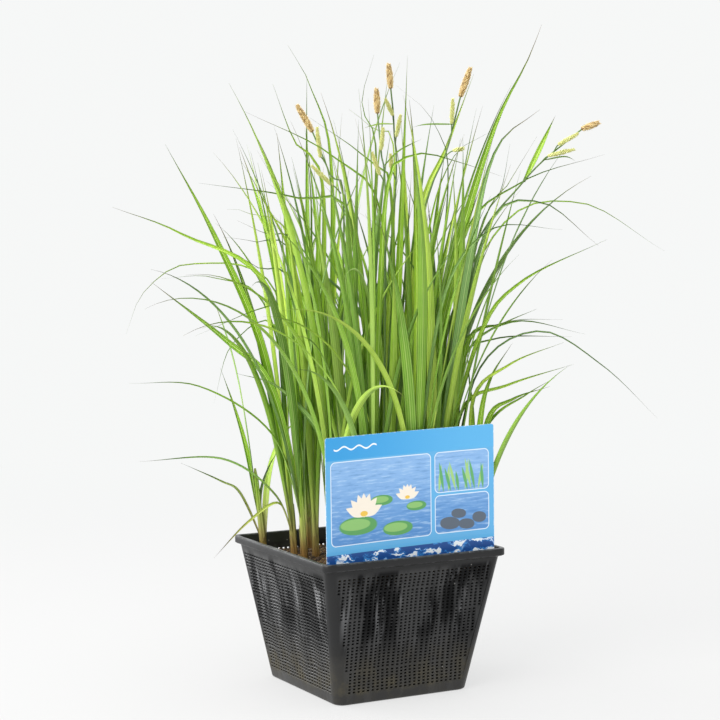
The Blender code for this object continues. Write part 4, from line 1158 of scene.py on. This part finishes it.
def leafFinish(name="leafGreen", shift=0.0):
    made, net, shader, where = newFinish(name)
    look = leafLook
    names = ("across", "along", "upper", "grey", "dry", "tint")
    across, along, upper, grey, dry, tint = (net.painted(n) for n in names)
    patch = net.noise(where, 26.0, 3.0, 0.6)
    tint = net.calc("ADD", tint + (patch - 0.5) * 0.5, shift, clamp=True)
    shades = (0.0, look["deep"]), (0.34, look["green"]), (0.7, look["fresh"]), (1.0, look["bright"])
    tone = net.ramp(tint, shades)
    # veins run the length of the blade, a few strong and many fine
    coarse, fine = (net.calc("COSINE", across * (math.pi * n)) for n in (5.0, 21.0))
    veins = coarse * 0.55 + fine * 0.45
    rib = net.fade(abs(across), 0.03, 0.14, 1.0, 0.0) * net.fade(upper, 0.2, 0.8, 0.25, 0.60)
    under = net.calc("MAXIMUM", net.fade(upper, 0.2, 0.8, 0.12, 0.0), grey * 0.75)
    tone = net.over(tone, (net.fade(veins, 0.1, 1.0, 0.0, 0.50), look["rib"]),
                    (net.fade(veins, 0.0, -1.0, 0.0, 0.52), look["deep"]), (rib, look["rib"]),
                    (under, look["bloom"]))
    # pale at the foot, straw and brown where it meets the soil, withered at some tips
    foot = net.xyz(where)[2] + (patch - 0.5) * 0.03
    tip = net.fade(along, 0.86, 0.99) * dry
    spots = net.fade(net.noise(where, 130.0, 4.0, 0.65, (1.0, 1.0, 0.25)), 0.64, 0.76, 0.0, 0.55)
    tone = net.over(tone, (net.fade(foot, 128 * mm, 196 * mm, 0.80, 0.0), look["straw"]),
                    (net.fade(foot, 118 * mm, 150 * mm, 0.90, 0.0), look["bark"]),
                    (net.calc("MAXIMUM", tip, spots * dry), look["withered"]))
    net.feed(shader["Specular IOR Level"], look["shine"])
    # the fold along the midrib: a valley above, a ridge below
    fold = abs(across) * net.fade(upper, 0.4, 0.6, -1.0, 1.0)
    rough = net.fade(patch, 0.3, 0.7, 0.36, 0.50) + grey * 0.12
    settle(net, shader, tone, rough, fold + veins * 0.06, 1.3 * mm, 1.0)
    return made


def leafTint(draw, out):
    # inner blades are fresh and yellowish, outer ones darker and greyer
    grey = draw.random()
    return {
        "tint": min(max(draw.gauss(0.62 - 0.14 * out, 0.30), 0.04), 1.0),
        "grey": 0.0 if grey > 0.10 + 0.16 * out else draw.uniform(0.3, 0.9),
        "dry": draw.uniform(0.5, 1.0) if draw.random() < 0.45 else 0.0,
    }


def oldLeaf(draw, leaves, foot, axis):
    form = oldLeaves
    out = heading(draw.uniform(0, 2 * math.pi))
    high = draw.uniform(*form["high"]) * mm
    line = []
    for t in (0, 0.25, 0.5, 0.75, 1):
        away = (form["away"] + form["bow"] * t * t) * mm
        line.append(foot + axis * (high * t - form["deep"] * mm) + out * away)
    side = axis.cross(out).normalized()
    halves, keels = ([v * mm for v in form[key]] for key in ("halves", "keels"))
    frames = [(axis, side, axis.cross(side))] * len(line)
    leaves.add(line, frames, halves, keels, tint=draw.uniform(0.3, 0.8), dry=1.0)


def sheathRadius(s):
    if s > 0.99:
        return shootForm["sheathEnd"]
    return growth["sheathRadius"] + (growth["sheathTop"] - growth["sheathRadius"]) * ease(s / 0.92)


def makeShoots():
    finish = leafFinish()
    draw = random.Random(shootForm["seed"])
    total = 0
    for name, shoot in shoots.items():
        leaves, tubes = Strands(), Strands()
        foot = shoot["foot"]
        for blade in shoot["blades"]:
            reach = abs((blade["line"][-1] - foot).dot(acrossDir)) / shootForm["outer"]
            bladeStrand(leaves, blade, **leafTint(draw, min(reach, 1.0)))
        for _ in range(oldLeaves["many"]):
            oldLeaf(draw, leaves, foot, shoot["axis"])
        steps = shootForm["sheathSteps"]
        line = sheathLine(foot, [i / steps for i in range(steps + 1)])
        tubeStrand(tubes, line, sheathRadius, tint=draw.uniform(0.35, 0.7), dry=0.4)
        blades = leaves.swept("blades_" + name, "blade", finish)
        for piece in (blades, tubes.swept("sheath_" + name, "sheath", finish)):
            place(piece, "leaf", "shoot_" + name)
        total += len(blades.data.polygons)
    print("shoots grown:", total, "faces")


makeShoots()


# flowering stems and spikes

stemLook = {
    "dark": (0.055, 0.125, 0.025), "light": (0.15, 0.27, 0.055), "line": (0.32, 0.40, 0.13),
    "foot": (0.34, 0.22, 0.09),
}
stemForm = {
    "seed": 8, "steps": 60, "slim": 0.92, "intoSpike": 1.0 * mm, "stalk": 0.55 * mm, "stalkSteps": 8,
    "stalkDrop": 7 * mm, "stalkRise": 1.0 * mm, "coreSteps": 8, "core": 0.72,
}
spikeLook = {
    "scale": (0.55, 0.36, 0.12), "scaleEdge": (0.84, 0.66, 0.33), "scaleDark": (0.24, 0.12, 0.04),
    "anther": (0.93, 0.81, 0.46), "fruit": (0.74, 0.80, 0.28), "fruitTip": (0.56, 0.54, 0.18),
    "fruitPale": (0.82, 0.86, 0.42), "husk": (0.20, 0.13, 0.055),
}
floretFinishes = {  # name, colours from the darkest pick to the palest, colour of the tip, roughness
    "scales": ("maleScales", {0.0: "scaleDark", 0.25: "scale", 1.0: "scaleEdge"}, "scaleEdge", 0.62),
    "anthers": ("anthers", {0.0: "scaleEdge", 1.0: "anther"}, "anther", 0.7),
    "fruits": ("femaleScales", {0.0: "fruitTip", 0.3: "fruit", 1.0: "fruitPale"}, "fruitTip", 0.55),
}
floretKinds = {  # number on a spike of that length, lean, place in the spike, seed and form
    "male_spike": {
        "scales": (150, 26 * mm, 0.36, 0.84, 2, {
            "Length": 3.4 * mm, "Width": 1.9 * mm, "Depth": 1.0 * mm, "Point": 0.75}),
        "anthers": (110, 26 * mm, 1.5, 0.92, 4, {
            "Length": 2.3 * mm, "Width": 0.42 * mm, "Depth": 0.42 * mm, "Point": 0.3,
            "Segments": 4, "Rings": 3}),
    },
    "female_spike": {
        "fruits": (90, 22 * mm, 0.62, 0.5, 6, {
            "Length": 3.0 * mm, "Width": 1.45 * mm, "Depth": 1.3 * mm, "Point": 0.8}),
    },
}


def stemFinish():
    made, net, shader, where = newFinish("stemGreen")
    look = stemLook
    patch = net.noise(where, 60.0, 3.0, 0.6, (1.0, 1.0, 0.3))
    lines = net.calc("COSINE", net.painted("around") * (math.pi * 18))
    tone = net.mix(net.fade(patch, 0.35, 0.7), look["dark"], look["light"])
    tone = net.over(tone, (net.fade(lines, 0.2, 1.0, 0.0, 0.25), look["line"]),
                    (net.fade(net.xyz(where)[2], 118 * mm, 160 * mm, 0.8, 0.0), look["foot"]))
    settle(net, shader, tone, net.fade(patch, 0.3, 0.7, 0.42, 0.56), lines, 0.05 * mm, 0.8)
    return made


def floretFinish(name, shades, edge, rough):
    made, net, shader, where = newFinish(name)
    look = spikeLook
    tone = net.ramp(net.painted("pick"), [(at, look[shade]) for at, shade in shades.items()])
    grain = effectOf(net, grainEffect, Place=where, Scale=2600.0)
    tone = net.over(tone, (net.fade(net.painted("tip"), 0.45, 1.0, 0.0, 0.7), look[edge]),
                    (net.fade(grain["Height"], 0.4, 0.7, 0.25, 0.0), look["husk"]))
    rough = net.fade(grain["Tone"], 0.3, 0.7, rough, rough + 0.12)
    settle(net, shader, tone, rough, grain["Height"], 0.08 * mm, 0.6)
    return made


def floretTree():
    # a pointed seed-like body on every point, set along its own direction
    rows = floats(Length=0.003, Width=0.001, Depth=0.0006, Point=0.5)
    rows += [("Segments", "Int", 6), ("Rings", "Int", 4), ("Seed", "Int", 0)]
    net, given, result = geometryTree("florets", rows)
    inputs = {"Segments": given["Segments"], "Rings": given["Rings"], "Radius": 0.5}
    body = net.add("GeometryNodeMeshUVSphere", inputs)
    x, y, z = net.xyz(net.add("GeometryNodeInputPosition"))
    up = z + 0.5
    slim = 1.0 - up * up * given["Point"]
    shaped = net.together(x * slim * given["Width"], y * slim * given["Depth"], up * given["Length"])
    body = net.smooth(net.moved(net.store(body, "tip", up), "Position", shaped))
    points = net.add("GeometryNodeMeshToPoints", {"Mesh": given["Geometry"]}, mode="VERTICES")
    aim = net.add("FunctionNodeAlignRotationToVector", {"Vector": net.named("aim", "FLOAT_VECTOR")}, axis="Z")
    inputs = {"Rotation": aim, "Vector": net.named("out", "FLOAT_VECTOR")}
    turn = net.add("FunctionNodeAlignRotationToVector", inputs, axis="Y", pivot_axis="Z")
    size = net.chance(0.78, 1.12, given["Seed"]) * net.named("grow")
    inputs = {"Points": points, "Instance": body, "Rotation": turn, "Scale": size}
    placed = net.add("GeometryNodeInstanceOnPoints", inputs)
    picked = net.store(placed, "pick", net.chance(0.0, 1.0, given["Seed"] + 3), "INSTANCE")
    return closeTree(net, picked, given, result)


def spiral(foot, tip, radiusAt, count, lean, lift):
    # points in a spiral round a spike: (place, aim, out, size)
    axis = (tip - foot).normalized()
    first = axis.cross(Vector((0, 1, 0))).normalized()
    second = axis.cross(first)
    rows = []
    for i in range(count):
        s, angle = (i + 0.5) / count, i * math.radians(137.5)
        out = first * math.cos(angle) + second * math.sin(angle)
        at = foot.lerp(tip, s * 0.97) + out * radiusAt(s) * lift
        size = 0.7 + 0.3 * math.sin(math.pi * min(1.0, s + 0.12))
        rows.append((at, (axis + out * lean).normalized(), out, size))
    return rows


def makeSpike(node, slot, foot, tip, radius, number, tree, finishes):
    def spindle(s):
        return radius * (0.42 + 0.58 * math.sin(math.pi * min(1.0, 0.12 + s * 0.86)) ** 0.6)

    pieces = []
    for kind, (many, length, lean, lift, seed, form) in floretKinds[slot].items():
        count = round(many * (tip - foot).length / length)
        places, *columns = zip(*spiral(foot, tip, spindle, count, lean, lift))
        piece = newObject(f"{node}_{kind}", places)
        for name, column in zip(("aim", "out", "grow"), columns):
            addAttribute(piece.data, name, column)
        values = {**form, "Seed": number + seed, "Material": finishes[kind]}
        pieces.append(outward(runTree(piece, tree, values)))
    core = Strands()
    steps = stemForm["coreSteps"]
    line = [foot.lerp(tip, t / steps) for t in range(steps + 1)]
    tubeStrand(core, line, lambda s: spindle(s) * stemForm["core"])
    pieces.append(core.swept(node + "_core", "core", finishes["scales" if slot == "male_spike" else "fruits"]))
    for piece in pieces:
        place(piece, slot, node)


def makeSpikes():
    finishes = {kind: floretFinish(*row) for kind, row in floretFinishes.items()}
    tree = floretTree()
    for name, culm in culms.items():
        for i, spike in enumerate(culm["spikes"]):
            slot = "female_spike" if i else "male_spike"
            node = f"{slot}_{name[-1]}" + ("abc"[i - 1] if i else "")
            makeSpike(node, slot, *spike, number=i, tree=tree, finishes=finishes)
    print("spikes grown")


def makeStems():
    finish, leaf = stemFinish(), leafFinish("bractGreen", 0.05)
    form = stemForm
    draw = random.Random(form["seed"])
    narrowing = growth["culmTop"] - growth["culmRadius"]
    for name, culm in culms.items():
        stems = Strands()
        line = sampled(culm["fine"], form["steps"])
        (endFoot, endTip, _), *others = culm["spikes"]
        line[-1] = line[-1] + (endTip - endFoot).normalized() * form["intoSpike"]
        tubeStrand(stems, line, lambda s: (growth["culmRadius"] + narrowing * s) * form["slim"])
        for foot, tip, _ in others:
            end = foot + (tip - foot).normalized() * form["intoSpike"]
            low = atHeight(culm["line"], foot.z - form["stalkDrop"])
            stalk = spline([low, low.lerp(end, 0.6) + Vector((0, 0, form["stalkRise"])), end])
            tubeStrand(stems, sampled(stalk, form["stalkSteps"]), lambda s: form["stalk"])
        place(stems.swept(name + "_stem", "stem", finish), "stem", name)
        if culm["bracts"]:
            leaves = Strands()
            for bract in culm["bracts"]:
                bladeStrand(leaves, bract, tint=draw.uniform(0.4, 0.8), grey=0.1, dry=0.8)
            place(leaves.swept(name + "_bracts", "blade", leaf), "stem", name)
    print("stems grown")


makeStems()
makeSpikes()


# label card with a plain water-garden print

printLook = {
    "border": (0.12, 0.43, 0.76), "band": (0.035, 0.34, 0.73), "bandEnd": (0.11, 0.45, 0.80),
    "pale": (0.10, 0.42, 0.76), "deep": (0.010, 0.075, 0.30), "shallow": (0.04, 0.26, 0.68),
    "foam": (0.90, 0.95, 0.99), "water": (0.09, 0.27, 0.60), "sky": (0.25, 0.46, 0.78),
    "glint": (0.52, 0.72, 0.92), "shade": (0.03, 0.16, 0.44), "back": (0.70, 0.82, 0.90),
    "rub": (0.86, 0.89, 0.92), "pad": (0.10, 0.34, 0.10), "padLight": (0.26, 0.52, 0.16),
    "petal": (0.90, 0.82, 0.70), "heart": (0.85, 0.55, 0.08), "reed": (0.12, 0.40, 0.14),
    "reedLight": (0.36, 0.62, 0.22), "stone": (0.10, 0.13, 0.17),
}
printPanels = (  # centre, then half width, half height and corner radius, in mm from the card's corner
    ((55.5, 58.5), (50.0, 36.0, 4.0)), ((137.5, 77.0), (27.0, 17.5, 4.0)), ((137.5, 39.5), (27.0, 16.5, 4.0)),
)


def buildRoundBox(net, given, result):
    # inside a box with round corners: centre, half size and corner radius in mm
    x, y, _ = net.xyz(net.vec("SUBTRACT", given["Place"], given["Centre"]))
    wide, tall, radius = net.xyz(given["Size"])
    dx, dy = (net.calc("MAXIMUM", abs(v) - (half - radius), 0.0) for v, half in ((x, wide), (y, tall)))
    away = net.calc("SQRT", dx * dx + dy * dy)
    net.feed(result["Mask"], net.fade(away - radius, -0.25, 0.25, 1.0, 0.0))


def buildPetal(net, given, result):
    # a pointed oval, turned: centre, half size, turn
    inputs = {"Vector": net.vec("SUBTRACT", given["Place"], given["Centre"]), "Angle": given["Turn"]}
    x, y, _ = net.xyz(net.add("ShaderNodeVectorRotate", inputs, rotation_type="Z_AXIS"))
    wide, tall, power = net.xyz(given["Size"])
    t = abs(y) / tall
    edge = (1.0 - net.calc("MINIMUM", t, 1.0) ** power) ** net.fade(power, 1.9, 2.0, 1.0, 0.5)
    net.feed(result["Mask"], (t < 1.0) * net.fade(abs(x) / wide - edge, -0.06, 0.06, 1.0, 0.0))


vectorRows = [(name, "Vector", None) for name in ("Place", "Centre", "Size")]
roundBox = makeEffect("roundBox", vectorRows, maskRow, buildRoundBox)
petalShape = makeEffect("petalShape", vectorRows + floats(Turn=0.0), maskRow, buildPetal)


def printMotifs():
    # pads, blossoms, reeds and stones: (x, y, half width, half height, power, turn, colour)
    draw = random.Random(21)
    rows = []
    for x, y, size in ((32, 38, 19), (72, 32, 15), (91, 50, 10), (56, 58, 11)):
        rows.append((x, y, size, size * 0.42, 2.2, 0.0, "pad"))
        rows.append((x - size * 0.15, y + size * 0.06, size * 0.78, size * 0.26, 2.2, 0.0, "padLight"))
    for x, y, size in ((38, 46, 17), (82, 57, 11)):
        for turn in (-1.15, 1.15, -0.72, 0.72, -0.3, 0.3, 0.0):
            cx, cy = x + math.sin(turn) * size * 0.55, y + math.cos(turn) * size * 0.55
            rows.append((cx, cy, size * 0.24, size * 0.62, 1.6, turn, "petal"))
        rows.append((x, y + size * 0.12, size * 0.22, size * 0.14, 2.0, 0.0, "heart"))
    for i in range(12):
        x, lean = 115 + i * 4.0 + draw.uniform(-1.5, 1.5), draw.uniform(-0.28, 0.28)
        tall, colour = draw.uniform(9, 15), "reed" if i % 2 else "reedLight"
        rows.append((x + math.sin(lean) * tall, 59 + tall, 1.5, tall, 1.8, lean, colour))
    for x, y, wide, tall in ((125, 31, 10, 5.5), (142, 29, 8, 4.6), (155, 34, 7, 4.8), (134, 39, 7.5, 4.2)):
        rows.append((x, y, wide, tall, 2.4, 0.1, "stone"))
    return rows


def printFinish():
    made, net, shader, where = newFinish("labelPrint")
    look = printLook
    uv = net.add("ShaderNodeUVMap", uv_map="print")
    spot = net.vec("MULTIPLY", uv, (card["width"] / mm, card["height"] / mm, 0.0))
    x, y, _ = net.xyz(spot)

    def below(height):
        return net.fade(y, height, height + 0.4, 1.0, 0.0)

    band = net.mix(net.fade(x, 0.0, 170.0), look["band"], look["bandEnd"])
    tone = net.mix(net.fade(y, 96.0, 97.0), look["border"], band)
    line = abs(y - 106.5 - net.calc("SINE", x * 0.42) * 1.5)
    swash = net.fade(line, 0.5, 0.9, 1.0, 0.0) * net.fade(abs(x - 30.0), 21.0, 22.0, 1.0, 0.0)
    tone = net.mix(swash, tone, look["foam"])
    # water in the three panels, lighter towards the top and crossed by soft ripples
    ripple = net.noise(spot, 0.16, 3.0, 0.6, (0.35, 2.6, 1.0))
    water = net.mix(net.fade(y, 20.0, 92.0), look["water"], look["sky"])
    water = net.over(water, (net.fade(ripple, 0.50, 0.68, 0.0, 0.45), look["glint"]),
                     (net.fade(ripple, 0.46, 0.34, 0.0, 0.35), look["shade"]))
    masks = []
    for grow in (0.0, 0.7):
        mask = 0.0
        for centre, size in printPanels:
            inputs = {"Place": spot, "Centre": (*centre, 0.0), "Size": tuple(v + grow for v in size)}
            mask = net.calc("MAXIMUM", mask, effectOf(net, roundBox, **inputs)["Mask"])
        masks.append(mask)
    inside, outline = masks
    tone = net.over(tone, (outline * 0.85, look["foam"]), (inside, water))
    for cx, cy, wide, tall, power, turn, colour in printMotifs():
        inputs = {"Place": spot, "Centre": (cx, cy, 0.0), "Size": (wide, tall, power), "Turn": turn}
        tone = net.mix(effectOf(net, petalShape, **inputs)["Mask"] * inside, tone, look[colour])
    # a splash strip along the lower edge, a plain back, and the card's edges rubbed pale
    swirl = net.vec("SCALE", net.together(net.noise(spot, 0.09), net.noise(spot, 0.13)), 14.0)
    splash = net.noise(net.vec("ADD", spot, swirl), 0.10, 3.0, 0.6, (0.6, 1.7, 1.0))
    depth = net.mix(net.fade(splash, 0.46, 0.54), look["deep"], look["shallow"])
    depth = net.mix(net.fade(splash, 0.535, 0.575), depth, look["foam"])
    back = net.fade(net.painted("front"), 0.4, 0.6, 1.0, 0.0)
    edge = net.calc("MAXIMUM", abs(x - 85.1) - 26.8, abs(y - 58.3))
    rub = net.fade(edge, 57.5, 58.3) * net.fade(net.noise(spot, 0.35, 4.0, 0.7), 0.45, 0.65)
    tone = net.over(tone, (below(17.5), look["pale"]), (below(14.4), depth), (back, look["back"]),
                    (rub * 0.7, look["rub"]))
    grain = effectOf(net, grainEffect, Place=where, Scale=700.0)
    settle(net, shader, tone, net.fade(grain["Tone"], 0.3, 0.7, 0.30, 0.42), grain["Height"], 0.02 * mm, 0.5)
    return made


def cardBack(x):
    # how far the bowed card lies behind its straight edges' plane
    return card["bow"] * (1 - (x / (card["width"] / 2)) ** 2)


def cardRims(rows=8):
    # the card's outline column by column: x, then heights from its lower to its upper edge
    half, tall, radius = card["width"] / 2, card["height"], card["corner"]
    arc = [radius * (1 - math.cos(a * math.pi / 12)) for a in range(7)]
    xs = [-half + a for a in arc] + [-half + radius + (2 * half - 2 * radius) * i / 36 for i in range(1, 36)]
    xs += [half - a for a in reversed(arc)]
    for x in xs:
        inset = max(0.0, abs(x) - (half - radius))
        cut = radius - math.sqrt(max(radius * radius - inset * inset, 0.0))
        yield x, [cut + (tall - 2 * cut) * j / rows for j in range(rows + 1)]


def rimOf(grid):
    # the points round the edge of a grid of columns
    lower, upper = ([column[end] for column in grid] for end in (0, -1))
    return lower + grid[-1][1:-1] + upper[::-1] + grid[0][-2:0:-1]


def makeCard():
    half, tall, thick = card["width"] / 2, card["height"], card["thick"] / 2
    work = bmesh.new()
    layer = work.loops.layers.uv.new("print")
    side = work.verts.layers.float.new("front")
    grids = []
    for front, y in ((1.0, -thick), (0.0, thick)):
        grid = [[work.verts.new((x, cardBack(x) + y, z)) for z in zs] for x, zs in cardRims()]
        for column in grid:
            for vert in column:
                vert[side] = front
        for left, right in zip(grid, grid[1:]):
            for a, b, c, d in zip(left, right, right[1:], left[1:]):
                work.faces.new((a, b, c, d))
        grids.append(grid)
    skins = [[rimOf(grid) for grid in grids]]
    for at in card["prongsAt"]:
        deep, left, right = -card["prongLength"], at - card["prongWidth"] / 2, at + card["prongWidth"] / 2
        outline = [(left, mm), (left, 0.7 * deep), (at, deep), (right, 0.7 * deep), (right, mm)]
        slanted = [(x, cardBack(x) + card["prongSlant"] * max(0, -z), z) for x, z in outline]
        skin = [[work.verts.new((x, back + y * 0.9, z)) for x, back, z in slanted] for y in (-thick, thick)]
        for ring in skin:
            work.faces.new(ring)
        skins.append(skin)
    for ring, other in skins:
        for a, b, c, d in zip(ring, ring[1:] + ring[:1], other[1:] + other[:1], other):
            work.faces.new((a, b, c, d))
    for face in work.faces:
        for loop in face.loops:
            loop[layer].uv = ((loop.vert.co.x + half) / (2 * half), loop.vert.co.z / tall)
    obj = newObject("plant_label_card", finish=printFinish())
    work.to_mesh(obj.data)
    work.free()
    obj.data.transform(cardPlace())
    place(smoothShade(outward(obj, mend=True), 30), "label_card", "plant_label")
    print("label printed")


makeCard()


# floor, light and camera

studio = {
    "floor": (0.15, 0.15, 0.149), "glow": 0.64, "backdrop": (0.925, 0.935, 0.930), "sky": (0.97, 0.985, 1.0),
    "front": 0.65, "behind": 1.42, "away": (0.489, 0.872, 0.0), "size": 30.0, "lampsAim": Vector((0, 0, 0.25)),
    "lamps": {  # power, width, place, colour
        "key": (80.0, 2.2, (-2.4, -0.9, 1.7), (1.0, 0.985, 0.96)),
        "top": (60.0, 2.6, (-0.3, -0.2, 2.6), (1.0, 1.0, 1.0)),
        "edge": (28.0, 1.2, (-1.7, 2.0, 0.9), (0.98, 0.99, 1.0)),
    },
}
view = {
    "spot": Vector((-0.8593, -1.5325, 0.4317)), "lens": 97.37,
    "aim": Vector((0, 0, 0.296)) - Vector((0.8722, -0.4891, 0)) * 0.0066,
}


def aimed(name, data, spot, aim):
    obj = bpy.data.objects.new(name, data)
    obj.location = spot
    obj.rotation_euler = (aim - Vector(spot)).to_track_quat("-Z", "Y").to_euler()
    bpy.context.scene.collection.objects.link(obj)
    return obj


def makeStudio():
    finish, net, shader, where = newFinish("paleFloor")
    # the floor runs out into the evenly lit backdrop
    away = net.fade(net.vec("LENGTH", where), 0.35, 1.6)
    net.feed(shader["Base Color"], net.mix(away, studio["floor"], (0.0, 0.0, 0.0)))
    net.feed(shader["Emission Color"], net.mix(away, (studio["glow"],) * 3, studio["backdrop"]))
    for name, value in (("Emission Strength", 1.0), ("Roughness", 1.0), ("Specular IOR Level", 0.0)):
        net.feed(shader[name], value)
    size = studio["size"]
    corners = [(-size, -size, 0), (size, -size, 0), (size, size, 0), (-size, size, 0)]
    floor = newObject("floor", corners, (), [(0, 1, 2, 3)], finish)
    world = bpy.data.worlds.new("studio")
    world.use_nodes = True
    bpy.context.scene.world = world
    net = Net(world.node_tree)
    direction = net.out(net.add("ShaderNodeTexCoord"), "Generated")
    behind = net.vec("DOT_PRODUCT", direction, studio["away"])
    light = net.fade(behind, -0.5, 0.8, studio["front"], studio["behind"])
    seen = net.out(net.add("ShaderNodeLightPath"), "Is Camera Ray")
    sky = world.node_tree.nodes["Background"].inputs
    net.feed(sky["Color"], net.mix(seen, studio["sky"], studio["backdrop"]))
    strength = net.made("ShaderNodeMix", {"Factor": seen, "A": light, "B": 1.0}, data_type="FLOAT")
    net.feed(sky["Strength"], strength)
    for name, (power, width, spot, colour) in studio["lamps"].items():
        lamp = bpy.data.lights.new(name, "AREA")
        lamp.energy, lamp.size, lamp.color = power, width, colour
        aimed(name, lamp, spot, studio["lampsAim"])
    bpy.context.scene.view_settings.view_transform = "Standard"


def makeCamera():
    lens = bpy.data.cameras.new("view")
    lens.lens, lens.sensor_width, lens.clip_start = view["lens"], 36.0, 0.01
    bpy.context.scene.camera = aimed("view", lens, view["spot"], view["aim"])


makeStudio()
makeCamera()
print("scene ready")
